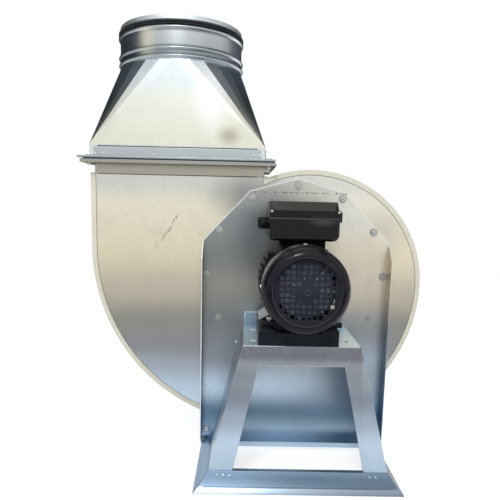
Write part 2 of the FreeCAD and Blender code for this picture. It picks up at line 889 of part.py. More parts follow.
back_flange_places = [(side * back_flange_bolt_x, platform_top + back_flange_height / 2) for side in (-1, 1)]
foot_rows = [motor_face - foot_shoulder_distance, motor_face - foot_shoulder_distance - foot_hole_spacing]
foot_places = [(side * foot_half_spacing, y) for side in (-1, 1) for y in foot_rows]
foot_inner_x = foot_half_spacing - foot_inner_margin
foot_half_width = foot_half_spacing + foot_edge_margin
raiser_left_edge = foot_half_spacing + raiser_left_margin
raiser_right_edge = foot_half_spacing + raiser_right_margin


def make_motor_platform():
    """The top sheet, its front turned down as a mitred rail and its back turned up against the plate."""
    half = platform_half_width
    low = platform_top - pedestal_sheet
    top = block(-half, half, pedestal_front + pedestal_sheet, plate_front, low, platform_top)
    rail_bottom = platform_top - top_rail_height
    inner = half - top_rail_inset
    outline = [(-half, platform_top), (half, platform_top), (inner, rail_bottom), (-inner, rail_bottom)]
    rail = flat_prism(outline, pedestal_front, pedestal_front + pedestal_sheet)
    upturn = block(-half + pedestal_sheet, half - pedestal_sheet, plate_front - pedestal_sheet, plate_front,
                   low, platform_top + back_flange_height)
    platform = joined([top, rail, upturn])
    for x, y in foot_places:
        side = 1 if x > 0 else -1
        ends = sorted([x - side * slot_reach_in, x + side * slot_reach_out])
        half_slot = slot_width / 2
        platform = platform.cut(block(ends[0], ends[1], y - half_slot, y + half_slot, low - 1,
                                      platform_top + 1))
        for end in ends:
            platform = platform.cut(post(half_slot, low - 1, platform_top + 1, end, y))
    hole = plate_bolt_radius + bolt_clearance
    for x, z in back_flange_places:
        platform = platform.cut(rod(hole, plate_front - pedestal_sheet - 1, plate_front + 1, x, z))
    return platform


def make_pedestal_side():
    """A side sheet that spreads to the floor, its front turned in as a leg and its back as a flange."""
    top = platform_top - pedestal_sheet
    outer_top = platform_half_width + leg_slope * pedestal_sheet
    thick = pedestal_sheet * math.hypot(1, leg_slope)
    foot = leg_foot_outer
    slope_line = [(outer_top, top), (foot, rail_height)]
    skin = flat_prism(slope_line + [(foot - thick, rail_height), (outer_top - thick, top)],
                      pedestal_front, plate_front)
    inner = platform_half_width - top_rail_inset
    leg_line = [(platform_half_width, platform_top), (foot, rail_height)]
    leg = flat_prism(leg_line + [(leg_foot_inner, rail_height), (inner, platform_top - top_rail_height)],
                     pedestal_front, pedestal_front + pedestal_sheet)
    width = side_return_width
    back = flat_prism(slope_line + [(foot - width, rail_height), (outer_top - width, top)],
                      plate_front - pedestal_sheet, plate_front)
    return joined([skin, leg, back])


def make_platform_bolts():
    face = plate_front - pedestal_sheet
    tip = plate_back - bolt_clearance
    return group([plate_fastener(x, z, face, tip) for x, z in back_flange_places])


# Base frame

joint_bolt_places = [(side * (plate_half_width - joint_bolt_inset), plate_bottom + joint_bolt_rise)
                     for side in (-1, 1)]


def rail_section():
    """The flared rail's section: outwards from the frame line, and up from the floor."""
    lip_top = rail_height - rail_flare_drop
    line = [(-rail_top_flange, rail_height), (0, rail_height), (rail_flare_out, lip_top)]
    line += [(rail_flare_out + rail_lip_out, 0), (rail_flare_out + rail_lip_out - rail_foot_return, 0)]
    return sheet_outline(line, rail_sheet)


def plan_prism(points):
    """A tall prism over an outline in X and Y."""
    corners = [Vector(x, y, -rail_height) for x, y in points]
    return Part.Face(Part.makePolygon(corners + corners[:1])).extrude(Vector(0, 0, 3 * rail_height))


def make_front_base_rail():
    """The front rail, cut at 45 degrees at both ends."""
    outline = [(pedestal_front - out, z) for out, z in rail_section()]
    rail = side_prism(outline, -2 * rail_line, 2 * rail_line)
    reach = rail_line / 2
    front = pedestal_front - reach
    back = pedestal_front + reach
    mitre = plan_prism([(-rail_line - reach, front), (rail_line + reach, front),
                        (rail_line - reach, back), (-rail_line + reach, back)])
    return rail.common(mitre)


def make_side_base_rail():
    """The right rail, mitred to the front rail and cut square at the support plate."""
    outline = [(rail_line + out, z) for out, z in rail_section()]
    rail = flat_prism(outline, pedestal_front - 2 * rail_line, plate_front)
    reach = rail_line / 2
    inner = rail_line - reach
    outer = rail_line + reach
    mitre = plan_prism([(inner, pedestal_front + reach), (outer, pedestal_front - reach),
                        (outer, plate_front), (inner, plate_front)])
    return rail.common(mitre)


def make_rear_side_rail():
    """A channel under the casing, open inwards, with a tab bolted to the back of the support plate."""
    web_outer = plate_half_width
    inner = web_outer - channel_width
    web = block(web_outer - rail_sheet, web_outer, plate_back, rear_rail_end, 0, channel_height)
    top = block(inner, web_outer, plate_back, rear_rail_end, channel_height - rail_sheet, channel_height)
    foot = block(inner, web_outer, plate_back, rear_rail_end, 0, rail_sheet)
    tab = block(inner, web_outer, plate_back, plate_back + rail_sheet, 0, channel_height + joint_tab_height)
    rail = joined([web, top, foot, tab])
    x, z = joint_bolt_places[1]
    hole = joint_bolt_radius + bolt_clearance
    rail = rail.cut(rod(hole, plate_back - 1, plate_back + rail_sheet + 1, x, z))
    for y in (-fixing_half_spacing_y, fixing_half_spacing_y):
        rail = rail.cut(post(fixing_hole_radius, -1, rail_sheet + 1, inner + channel_width / 2, y))
    return rail


def make_rear_cross_rail():
    """A channel across the back, open to the rear, which the side channels butt against."""
    end = rear_rail_end + channel_width
    half = plate_half_width
    web = block(-half, half, rear_rail_end, rear_rail_end + rail_sheet, 0, channel_height)
    top = block(-half, half, rear_rail_end, end, channel_height - rail_sheet, channel_height)
    foot = block(-half, half, rear_rail_end, end, 0, rail_sheet)
    return joined([web, top, foot])


def make_frame_joint_bolts():
    """The bolts that hold the channels to the support plate, each with its nut."""
    bolts = []
    for x, z in joint_bolt_places:
        tall = joint_bolt_head_height
        face = plate_back + rail_sheet
        head = hexagon(joint_bolt_head, Vector(x, plate_front - tall, z), tall, Vector(0, 1, 0))
        shank = rod(joint_bolt_radius, plate_front, face + tall + joint_bolt_radius, x, z)
        nut = hexagon(joint_bolt_head, Vector(x, face, z), tall, Vector(0, 1, 0))
        bolts.append(joined([head, shank, nut]))
    return group(bolts)


stay_bolt_places = [(side * stay_bolt_half_spacing, scroll_bottom + rise)
                    for side in (-1, 1) for rise in (stay_bolt_low, stay_bolt_high)]


def stay_outline(extra, y0, y1):
    foot = stay_half_width_foot + extra
    top = stay_half_width_top + extra
    high = scroll_bottom + stay_overlap + extra
    return flat_prism([(-foot, channel_height), (foot, channel_height), (top, high), (-top, high)], y0, y1)


def make_inlet_side_stay():
    """A plate from the rear cross rail to the back of the casing, with its foot turned out."""
    sheet = stay_outline(0, half_depth, half_depth + stay_sheet)
    foot = block(-stay_half_width_foot, stay_half_width_foot, half_depth, half_depth + stay_foot_depth,
                 channel_height, channel_height + stay_sheet)
    stay = joined([sheet, foot])
    collar = inlet_flange_radius + passing_clearance
    stay = stay.cut(rod(collar, half_depth - 1, half_depth + stay_foot_depth))
    hole = plate_bolt_radius + bolt_clearance
    for x, z in stay_bolt_places:
        stay = stay.cut(rod(hole, half_depth - 1, half_depth + stay_sheet + 1, x, z))
    return stay


def make_stay_bolts():
    bolts = []
    face = half_depth + stay_sheet
    for x, z in stay_bolt_places:
        head = hexagon(plate_bolt_head, Vector(x, face, z), plate_bolt_head_height, Vector(0, 1, 0))
        bolts.append(joined([head, rod(plate_bolt_radius, inner_half - plate_bolt_radius * 2, face, x, z)]))
    return group(bolts)


# Motor

frame_radius = frame_bore_radius + frame_wall
foot_bottom = platform_top + raiser_height
foot_top = foot_bottom + foot_thickness
box_middle = (frame_front + frame_back) / 2
box_bottom = shaft_height + box_floor_rise
lid_bottom = box_bottom + box_body_height
box_y0 = box_middle - box_length / 2
box_y1 = box_middle + box_length / 2


def make_motor_frame():
    """The finned barrel, with a pad on top for the terminal box."""
    barrel = rod(frame_radius, frame_back, frame_front)
    pieces = [barrel]
    count = int(360 / fin_angle_step)
    for step in range(count):
        angle = 360.0 * step / count
        height = math.sin(math.radians(angle))
        if height > fin_top_limit or height < -fin_bottom_limit:
            continue
        fin = block(frame_radius - frame_wall / 2, fin_tip_radius, frame_back, frame_front,
                    shaft_height - fin_thickness / 2, shaft_height + fin_thickness / 2)
        fin.rotate(Vector(0, 0, shaft_height), Vector(0, -1, 0), angle)
        pieces.append(fin)
    half_pad = pad_length / 2
    pieces.append(block(-pad_half_width, pad_half_width, box_middle - half_pad, box_middle + half_pad,
                        shaft_height, box_bottom))
    return joined(pieces).cut(rod(frame_bore_radius, frame_back - 1, frame_front + 1))


def make_end_shield(inner_plane, outer_plane):
    """A turned cover that carries one bearing in its middle, with a spigot in the frame."""
    way = 1 if outer_plane > inner_plane else -1
    wall = way * shield_wall
    seat = outer_plane - wall
    bearing_back = seat - way * bearing_width
    spigot_end = inner_plane - way * shield_spigot
    hub = bearing_outer_radius + shield_wall
    lip = frame_bore_radius
    lip_inside = lip - shield_wall
    outline = [(bearing_outer_radius, bearing_back), (hub, bearing_back), (hub, seat - wall)]
    outline += [(lip_inside, inner_plane + wall / 2), (lip_inside, spigot_end)]
    outline += [(lip, spigot_end), (lip, inner_plane), (frame_radius, inner_plane)]
    outline += [(frame_radius, inner_plane + wall), (hub, outer_plane), (shaft_opening, outer_plane)]
    outline += [(shaft_opening, seat), (bearing_outer_radius, seat)]
    return turned(outline)


shaft_opening = shaft_body_radius + bolt_clearance


def bearing_span(inner_plane, outer_plane):
    way = 1 if outer_plane > inner_plane else -1
    seat = outer_plane - way * shield_wall
    back = seat - way * bearing_width
    return min(seat, back), max(seat, back)


drive_bearing = bearing_span(frame_front, motor_face)
fan_bearing = bearing_span(frame_back, fan_shield_end)


def make_bearing_outer_rings():
    """The outer rings, with the seals that close them, of the two ball bearings."""
    inner = bearing_seat_radius + bearing_inner_thickness + bearing_gap
    return group([ring(bearing_outer_radius, inner, y0, y1) for y0, y1 in (drive_bearing, fan_bearing)])


def make_bearing_inner_rings():
    outer = bearing_seat_radius + bearing_inner_thickness
    return group([ring(outer, bearing_seat_radius, y0, y1) for y0, y1 in (drive_bearing, fan_bearing)])


def make_stator_core():
    middle = (frame_front + frame_back) / 2
    half = core_length / 2
    return ring(frame_bore_radius, rotor_core_radius + air_gap, middle - half, middle + half)


def make_stator_windings():
    """The end turns on both sides of the core."""
    middle = (frame_front + frame_back) / 2
    half = core_length / 2
    inner = rotor_core_radius + air_gap + passing_clearance
    return group([
        ring(winding_outer_radius, inner, middle + half, middle + half + winding_length),
        ring(winding_outer_radius, inner, middle - half - winding_length, middle - half),
    ])


def make_rotor_core():
    middle = (frame_front + frame_back) / 2
    half = core_length / 2
    return ring(rotor_core_radius, shaft_body_radius, middle - half, middle + half)


def make_motor_shaft():
    """A stepped shaft: fan seat, bearing seats, body and the keyed end that carries the impeller."""
    fan_end = cowl_face + fan_grid_gap
    steps = [(fan_seat_radius, fan_end), (fan_seat_radius, fan_bearing[0])]
    steps += [(bearing_seat_radius, fan_bearing[0]), (bearing_seat_radius, fan_bearing[1])]
    steps += [(shaft_body_radius, fan_bearing[1]), (shaft_body_radius, drive_bearing[0])]
    steps += [(bearing_seat_radius, drive_bearing[0]), (bearing_seat_radius, drive_bearing[1])]
    steps += [(shaft_radius, drive_bearing[1]), (shaft_radius, shaft_end)]
    shaft = turned([(0, fan_end)] + steps + [(0, shaft_end)])
    key_low = shaft_height + shaft_radius - key_height / 2
    shaft = shaft.cut(block(-key_width / 2, key_width / 2, hub_end - key_length, shaft_end + 1,
                            key_low, key_low + key_height))
    screw_hole = hub_end + hub_end_washer_thickness - hub_screw_length
    return shaft.cut(rod(hub_screw_radius, screw_hole, shaft_end + 1))


def make_motor_feet():
    """Two long feet, each with a web up to the barrel."""
    y0 = foot_rows[1] - foot_end_margin
    y1 = foot_rows[0] + foot_end_margin
    pad = block(foot_inner_x, foot_half_width, y0, y1, foot_bottom, foot_top)
    web = block(foot_inner_x, foot_inner_x + foot_web_thickness, max(y0, frame_back),
                min(y1, frame_front), foot_bottom, shaft_height)
    foot = joined([pad, web]).cut(rod(frame_radius, y0 - 1, y1 + 1))
    for y in foot_rows:
        foot = foot.cut(post(foot_bolt_radius + foot_bolt_clearance, foot_bottom - 1, foot_top + 1,
                             foot_half_spacing, y))
    foot = largest(foot)
    return group([foot, mirrored(foot)])


def largest(shape):
    """The biggest solid that a cut leaves."""
    return sorted(shape.Solids, key=lambda solid: solid.Volume)[-1]


def make_raiser_rails():
    """Two bars that lift the motor's feet off the platform, joined by a lower one across the front."""
    back = foot_rows[0] + foot_end_margin
    left = block(-raiser_left_edge, raiser_width - raiser_left_edge, pedestal_front, back,
                 platform_top, foot_bottom)
    right = block(raiser_right_edge - raiser_width, raiser_right_edge, pedestal_front, back,
                  platform_top, foot_bottom)
    front = block(-raiser_left_edge, raiser_right_edge, pedestal_front, pedestal_front + raiser_front_depth,
                  platform_top, platform_top + raiser_front_height)
    rails = joined([left, right, front])
    hole = foot_bolt_radius + foot_bolt_clearance
    for x, y in foot_places:
        rails = rails.cut(post(hole, platform_top - 1, foot_bottom + 1, x, y))
    return rails


def make_foot_bolts():
    """Four bolts with washers, down through the feet, the raisers and the platform's slots."""
    bolts = []
    low = platform_top - pedestal_sheet
    for x, y in foot_places:
        top = foot_top + foot_washer_thickness
        head = hexagon(foot_bolt_head, Vector(x, y, top), foot_bolt_head_height, Vector(0, 0, 1))
        washer = post(foot_washer_radius, foot_top, top, x, y)
        shank = post(foot_bolt_radius, low - foot_washer_thickness - foot_nut_height - foot_bolt_stickout,
                     top, x, y)
        bolts.append(joined([head, washer, shank]))
    return group(bolts)


def make_foot_nuts():
    """The nuts and washers under the platform."""
    nuts = []
    low = platform_top - pedestal_sheet
    face = low - foot_washer_thickness
    for x, y in foot_places:
        washer = post(foot_washer_radius, face, low, x, y)
        nut = hexagon(foot_bolt_head, Vector(x, y, face), foot_nut_height, Vector(0, 0, -1))
        hole = post(foot_bolt_radius, face - foot_nut_height - 1, low + 1, x, y)
        nuts.append(joined([washer, nut]).cut(hole))
    return group(nuts)


# Fan cowl and cooling fan

cowl_rim = frame_back - cowl_overlap
cowl_edge = cowl_rim - cowl_length + cowl_nose_length
cowl_face = cowl_rim - cowl_length


def cowl_solid(inset, rim):
    """The cowl as a filled form: barrel, rounded shoulder, narrow ridge and a dished face."""
    radius = cowl_radius - inset
    face = cowl_face + inset
    ridge = cowl_face_radius - inset / 2
    reach = radius - ridge
    drop = cowl_edge - face
    round_radius = (reach ** 2 + drop ** 2) / (2 * reach)
    whole_turn = math.atan2(drop, round_radius - reach)
    outline = [(0, rim), (radius, rim)]
    for step in range(cowl_shoulder_steps + 1):
        turn = whole_turn * step / cowl_shoulder_steps
        inwards = round_radius * (1 - math.cos(turn))
        outline.append((radius - inwards, cowl_edge - round_radius * math.sin(turn)))
    dish = face + cowl_dish
    outline += [(ridge - cowl_ridge_width, face), (ridge - cowl_ridge_width - cowl_dish, dish), (0, dish)]
    return turned(outline)


def grid_places():
    """Middles of the square holes: all those that lie between the inner and outer reach."""
    places = []
    for row in range(grid_count):
        for column in range(grid_count):
            x = (column - (grid_count - 1) / 2) * grid_pitch
            z = (row - (grid_count - 1) / 2) * grid_pitch
            if grid_inner_reach < math.hypot(x, z) < grid_outer_reach:
                places.append((x, z))
    return places


def make_fan_cowl():
    """A pressed cover over the cooling fan, with a grid of square holes and a small boss."""
    cowl = cowl_solid(0, cowl_rim).cut(cowl_solid(cowl_sheet, cowl_rim + 1))
    half = grid_hole / 2
    holes = []
    for x, z in grid_places():
        holes.append(block(x - half, x + half, cowl_face - 1, cowl_face + cowl_dish + 2 * cowl_sheet,
                           shaft_height + z - half, shaft_height + z + half))
    cowl = cowl.cut(Part.makeCompound(holes))
    dish = cowl_face + cowl_dish
    cowl = cowl.fuse(rod(cowl_boss_radius, dish - cowl_boss_height, dish + cowl_sheet / 2))
    for x, z in cowl_screw_places():
        cowl = cowl.cut(radial_pin(cowl_screw_radius + bolt_clearance, frame_radius, cowl_radius + 1, x, z))
    return cowl


def cowl_screw_places():
    return [(x, z - shaft_height) for x, z in around(cowl_screw_count, 1.0, 90.0)]


def radial_pin(radius, start, end, x, z):
    """A cylinder that points out from the shaft, at the cowl's screw line."""
    way = Vector(x, 0, z)
    line = (cowl_rim + fan_shield_end) / 2
    return Part.makeCylinder(radius, end - start, Vector(0, line, shaft_height) + way * start, way)


def make_cowl_lugs():
    """Four blocks cast on the fan end shield, which the cowl is screwed to."""
    lugs = []
    reach = cowl_radius - cowl_sheet
    for step in range(cowl_screw_count):
        lug = block(-lug_half_width, lug_half_width, fan_shield_end, frame_back,
                    shaft_height + frame_radius - shield_wall, shaft_height + reach)
        lug = lug.common(rod(reach, fan_shield_end, frame_back))
        lug.rotate(Vector(0, 0, shaft_height), Vector(0, 1, 0), 360.0 * step / cowl_screw_count)
        lugs.append(lug)
    return lugs


def make_fan_end_shield():
    shield = joined([make_end_shield(frame_back, fan_shield_end)] + make_cowl_lugs())
    for x, z in cowl_screw_places():
        shield = shield.cut(radial_pin(cowl_screw_radius, frame_radius, cowl_radius, x, z))
    return shield


def make_cowl_screws():
    screws = []
    for x, z in cowl_screw_places():
        shank = radial_pin(cowl_screw_radius, frame_radius, cowl_radius, x, z)
        head = radial_pin(cowl_screw_head, frame_radius, cowl_radius + cowl_screw_head_height, x, z)
        head = head.cut(rod(cowl_radius, cowl_edge, frame_back))
        screws.append(joined([shank, head]))
    return group(screws)


def make_cooling_fan():
    """A straight bladed fan on the shaft's far end: hub, disc and radial blades."""
    front = cowl_face + fan_grid_gap
    back = front + fan_width
    hub = rod(fan_hub_radius, front, back)
    pieces = [hub, rod(fan_disc_radius, back - fan_disc_thickness, back)]
    for step in range(fan_blade_count):
        blade = block(fan_hub_radius - fan_blade_thickness, fan_tip_radius, front + fan_blade_thickness, back,
                      shaft_height - fan_blade_thickness / 2, shaft_height + fan_blade_thickness / 2)
        blade.rotate(Vector(0, 0, shaft_height), Vector(0, 1, 0), 360.0 * step / fan_blade_count)
        pieces.append(blade)
    return joined(pieces).cut(rod(fan_seat_radius, front - 1, back + 1))


# Terminal box

def make_terminal_box():
    """An open topped tub with rounded lower edges, and a hole in its left side for the cable gland."""
    tub = block(-box_half_width, box_half_width, box_y0, box_y1, box_bottom, lid_bottom)
    lower = []
    for edge in tub.Edges:
        along = edge.Vertexes[-1].Point - edge.Vertexes[0].Point
        if abs(along.y) > box_length - 1 and edge.Vertexes[0].Point.z < box_bottom + 1:
            lower.append(edge)
    tub = tub.makeFillet(box_edge_round, lower)
    inner = box_half_width - box_wall
    cavity = block(-inner, inner, box_y0 + box_wall, box_y1 - box_wall, box_bottom + box_wall, lid_bottom + 1)
    lower = []
    for edge in cavity.Edges:
        along = edge.Vertexes[-1].Point - edge.Vertexes[0].Point
        if abs(along.y) > box_length / 2 and edge.Vertexes[0].Point.z < box_bottom + box_wall + 1:
            lower.append(edge)
    cavity = cavity.makeFillet(box_edge_round - box_wall, lower)
    start = Vector(-box_half_width - 1, box_middle, box_bottom + gland_rise)
    return tub.cut(cavity).cut(Part.makeCylinder(gland_thread_radius, box_wall + 2, start, Vector(1, 0, 0)))


def lid_profile(inset):
    """The lid's outline in Y and Z, with a long bevel in front and behind."""
    shoulder = lid_bottom + lid_skirt_height
    top = shoulder + lid_bevel_rise - inset
    y0 = box_y0 - lid_overlap + inset
    y1 = box_y1 + lid_overlap - inset
    bottom = lid_bottom - (1 if inset else 0)
    points = [(y0, bottom), (y0, shoulder), (y0 + lid_bevel_depth, top), (y1 - lid_bevel_depth / 2, top)]
    return points + [(y1, shoulder), (y1, bottom)]


def make_terminal_box_lid():
    half = box_half_width + lid_overlap
    lid = side_prism(lid_profile(0), -half, half)
    lid = lid.cut(side_prism(lid_profile(box_wall), -half + box_wall, half - box_wall))
    return lid


def make_lid_screws():
    """Screws through the lid's skirt, two in front and two behind."""
    screws = []
    z = lid_bottom + lid_screw_rise
    for side in (-1, 1):
        x = side * (box_half_width - lid_screw_inset)
        front = box_y0 - lid_overlap
        back = box_y1 + lid_overlap
        screws.append(rod(lid_screw_radius, front - lid_screw_height, front, x, z))
        screws.append(rod(lid_screw_radius, back, back + lid_screw_height, x, z))
    return group(screws)


def make_cable_gland():
    """A screwed gland with a domed nut, on the left of the box, with its way for the cable open."""
    z = box_bottom + gland_rise
    wall = -box_half_width
    way = Vector(-1, 0, 0)
    inwards = Vector(1, 0, 0)
    third = gland_length / 3
    flats = hexagon(gland_radius, Vector(wall, box_middle, z), third, way)
    nut = Part.makeCylinder(gland_nut_radius, third, Vector(wall - third, box_middle, z), way)
    dome = Part.makeCone(gland_nut_radius, gland_thread_radius, third,
                         Vector(wall - 2 * third, box_middle, z), way)
    thread = Part.makeCylinder(gland_thread_radius, 3 * box_wall, Vector(wall, box_middle, z), inwards)
    locknut = hexagon(gland_radius, Vector(wall + box_wall, box_middle, z), gland_locknut, inwards)
    body = joined([flats, nut, dome, thread, locknut])
    bore = Part.makeCylinder(gland_bore_radius, 2 * gland_length,
                             Vector(wall - gland_length - 1, box_middle, z), inwards)
    return body.cut(bore)


def make_run_capacitor():
    """A round capacitor lying across the box, on its floor."""
    start = Vector(box_half_width - box_edge_round - capacitor_length,
                   box_y1 - box_wall - capacitor_radius - passing_clearance,
                   box_bottom + box_wall + capacitor_radius)
    return Part.makeCylinder(capacitor_radius, capacitor_length, start, Vector(1, 0, 0))


def make_terminal_block():
    """A moulded block with six studs, on the floor of the box."""
    floor = box_bottom + box_wall
    front = box_y0 + box_wall + passing_clearance * 3
    body = block(-block_length / 2, block_length / 2, front, front + block_width, floor, floor + block_height)
    pieces = [body]
    for column in (-1, 0, 1):
        for row in (1, 3):
            pieces.append(post(stud_radius, floor, floor + block_height + stud_height,
                               column * block_length / 3, front + row * block_width / 4))
    return joined(pieces)


# Write every node

save(make_drive_side_plate(), "drive_side_plate")
save(make_inlet_side_plate(), "inlet_side_plate")
save(make_scroll_wrapper(), "scroll_wrapper")
save(make_drive_seam_rim(), "drive_seam_rim")
save(make_inlet_seam_rim(), "inlet_seam_rim")
save(make_outlet_flange(), "outlet_flange")
save(make_flange_gasket(), "flange_gasket")
save(make_transition_flange(), "transition_flange")
save(make_flange_corner_bolts(), "flange_corner_bolts")
save(make_transition_duct(), "transition_duct")
save(make_outlet_spigot(), "outlet_spigot")
save(make_spigot_gasket(), "spigot_gasket")
save(make_inlet_spigot(), "inlet_spigot")
save(make_inlet_cone(), "inlet_cone")
save(make_inlet_screws(), "inlet_screws")
save(make_impeller_backplate(), "impeller_backplate")
save(make_impeller_blades(), "impeller_blades")
save(make_impeller_shroud(), "impeller_shroud")
save(make_impeller_hub(), "impeller_hub")
save(make_shaft_key(), "shaft_key")
save(make_hub_screw(), "hub_screw")
save(make_support_plate(), "support_plate")
save(make_support_plate_bolts(), "support_plate_bolts")
save(make_support_plate_washers(), "support_plate_washers")
save(make_motor_platform(), "motor_platform")
right_side = make_pedestal_side()
save(right_side, "right_pedestal_side")
save(mirrored(right_side), "left_pedestal_side")
save(make_platform_bolts(), "platform_bolts")
save(make_front_base_rail(), "front_base_rail")
right_rail = make_side_base_rail()
save(right_rail, "right_base_rail")
save(mirrored(right_rail), "left_base_rail")
rear_rail = make_rear_side_rail()
save(rear_rail, "rear_right_rail")
save(mirrored(rear_rail), "rear_left_rail")
save(make_rear_cross_rail(), "rear_cross_rail")
save(make_frame_joint_bolts(), "frame_joint_bolts")
save(make_inlet_side_stay(), "inlet_side_stay")
save(make_stay_bolts(), "stay_bolts")
save(make_motor_frame(), "motor_frame")
save(make_end_shield(frame_front, motor_face), "drive_end_shield")
save(make_fan_end_shield(), "fan_end_shield")
save(make_bearing_outer_rings(), "bearing_outer_rings")
save(make_bearing_inner_rings(), "bearing_inner_rings")
save(make_stator_core(), "stator_core")
save(make_stator_windings(), "stator_windings")
save(make_rotor_core(), "rotor_core")
save(make_motor_shaft(), "motor_shaft")
save(make_motor_feet(), "motor_feet")
save(make_raiser_rails(), "raiser_rails")
save(make_foot_bolts(), "foot_bolts")
save(make_foot_nuts(), "foot_nuts")
save(make_fan_cowl(), "fan_cowl")
save(make_cowl_screws(), "cowl_screws")
save(make_cooling_fan(), "cooling_fan")
save(make_terminal_box(), "terminal_box")
save(make_terminal_box_lid(), "terminal_box_lid")
save(make_lid_screws(), "lid_screws")
save(make_cable_gland(), "cable_gland")
save(make_run_capacitor(), "run_capacitor")
save(make_terminal_block(), "terminal_block")
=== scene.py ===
import bpy
import bmesh
import json
import math
import random
from mathutils import Matrix, Vector

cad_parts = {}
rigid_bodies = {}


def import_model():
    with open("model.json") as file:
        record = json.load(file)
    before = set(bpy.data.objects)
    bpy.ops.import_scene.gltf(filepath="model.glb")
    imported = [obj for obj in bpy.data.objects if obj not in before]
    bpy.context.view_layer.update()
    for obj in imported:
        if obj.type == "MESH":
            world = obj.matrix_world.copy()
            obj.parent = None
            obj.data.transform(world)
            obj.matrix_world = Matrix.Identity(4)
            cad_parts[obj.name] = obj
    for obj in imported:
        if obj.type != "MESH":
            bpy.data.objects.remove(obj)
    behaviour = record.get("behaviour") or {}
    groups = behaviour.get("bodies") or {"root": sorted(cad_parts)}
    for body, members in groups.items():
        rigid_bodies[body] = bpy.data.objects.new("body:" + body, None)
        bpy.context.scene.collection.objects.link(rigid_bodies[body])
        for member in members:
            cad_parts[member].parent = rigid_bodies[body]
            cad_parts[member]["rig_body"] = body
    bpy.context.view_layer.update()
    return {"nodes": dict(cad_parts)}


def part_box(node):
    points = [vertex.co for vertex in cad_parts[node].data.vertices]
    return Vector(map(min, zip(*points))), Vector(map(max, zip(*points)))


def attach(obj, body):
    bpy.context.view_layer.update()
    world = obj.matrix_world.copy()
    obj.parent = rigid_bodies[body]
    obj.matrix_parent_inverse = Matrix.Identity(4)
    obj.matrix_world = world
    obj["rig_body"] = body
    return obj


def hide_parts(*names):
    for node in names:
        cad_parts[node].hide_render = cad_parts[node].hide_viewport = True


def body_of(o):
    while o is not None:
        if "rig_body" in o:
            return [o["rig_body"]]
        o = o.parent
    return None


# A hood extractor fan: galvanised scroll casing, round outlet on top, black foot motor on a pedestal
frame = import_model()
nodes = frame["nodes"]
mm = 0.001    # sizes below are in millimetres, Blender's are in metres
sameSpot, flush = 0.02 * mm, 0.05 * mm    # corners this near are one corner, faces this near are level
casingFace, plateFace = -165.0, -167.5    # of the casing and of the carrier plate, towards the motor
frontwards = Vector((0, -1, 0))
skywards = Vector((0, 0, 1))
print("loaded", len(nodes), "CAD nodes")


# camera, at the photograph's place, in metres
cameraLook = {
    "place": (-0.1307, -1.4684, 0.6244),
    "turn": 0.014,       # radians to the right
    "pitch": 0.146,      # radians downwards
    "roll": 0.023,       # radians
    "focalPixels": 526.8,
    "picturePixels": 500,
    "sensor": 36,        # millimetres
    "shift": (0.0, 0.06),
    "nearest": 0.05,
}


def makeCamera(look):
    turn, pitch, roll = look["turn"], look["pitch"], look["roll"]
    ahead = Vector((math.sin(turn) * math.cos(pitch), math.cos(turn) * math.cos(pitch), -math.sin(pitch)))
    level = Vector((math.cos(turn), -math.sin(turn), 0))
    above = level.cross(ahead)
    right = level * math.cos(roll) + above * math.sin(roll)
    up = above * math.cos(roll) - level * math.sin(roll)
    data = bpy.data.cameras.new("camera")
    data.sensor_width = look["sensor"]
    data.lens = look["focalPixels"] / look["picturePixels"] * look["sensor"]
    data.shift_x, data.shift_y = look["shift"]
    data.clip_start = look["nearest"]
    camera = bpy.data.objects.new("camera", data)
    turned = Matrix((right, up, -ahead)).transposed().to_4x4()
    camera.matrix_world = Matrix.Translation(look["place"]) @ turned
    bpy.context.scene.collection.objects.link(camera)
    bpy.context.scene.camera = camera


makeCamera(cameraLook)
print("camera set")


# small helpers for materials
def colour(hexCode):    # sRGB hex to linear
    channels = [int(hexCode[i:i + 2], 16) / 255 for i in (1, 3, 5)]
    return [c / 12.92 if c <= 0.04045 else ((c + 0.055) / 1.055) ** 2.4 for c in channels] + [1.0]


def feed(tree, socket, value):    # a number, a hex colour or another node's output
    if isinstance(value, bpy.types.NodeSocket):
        tree.links.new(value, socket)
    else:
        socket.default_value = colour(value) if isinstance(value, str) else value


def addNode(tree, kind, settings={}):    # by the name of a property, or the name or number of an input
    node = tree.nodes.new(kind)
    for key, value in settings.items():
        if isinstance(key, str) and hasattr(node, key):
            setattr(node, key, value)
        else:
            feed(tree, node.inputs[key], value)
    return node


def reckon(tree, operation, *terms):    # a sum on numbers and sockets
    return addNode(tree, "ShaderNodeMath", {"operation": operation, **dict(enumerate(terms))}).outputs[0]


def startMaterial(name, roughness, metallic):
    material = bpy.data.materials.new(name)
    material.use_nodes = True
    tree = material.node_tree
    shader = tree.nodes["Principled BSDF"].inputs
    feed(tree, shader["Metallic"], metallic)
    feed(tree, shader["Roughness"], roughness)
    place = addNode(tree, "ShaderNodeTexCoord").outputs["Object"]
    return material, tree, shader, place


def grain(tree, place, millimetres, stretch=(1, 1, 1), detail=3.0):    # noise whose features are that wide
    laid = addNode(tree, "ShaderNodeMapping", {"Scale": [s / (millimetres * mm) for s in stretch],
                                               "Vector": place}).outputs[0]
    noise = addNode(tree, "ShaderNodeTexNoise", {"Scale": 1.0, "Detail": detail, "Vector": laid})
    return noise.outputs["Fac"]


def spread(tree, value, low, high, fromLow=0.3, fromHigh=0.7):    # noise mostly lies between 0.3 and 0.7
    return addNode(tree, "ShaderNodeMapRange", {"Value": value, "From Min": fromLow, "From Max": fromHigh,
                                                "To Min": low, "To Max": high}).outputs[0]


def blendColours(tree, factor, first, second):
    return addNode(tree, "ShaderNodeMix", {"data_type": "RGBA", 0: factor, 6: first, 7: second}).outputs[2]


def roughen(tree, shader, height, depth, strength):
    bump = addNode(tree, "ShaderNodeBump", {"Strength": strength, "Distance": depth * mm, "Height": height})
    feed(tree, shader["Normal"], bump.outputs[0])


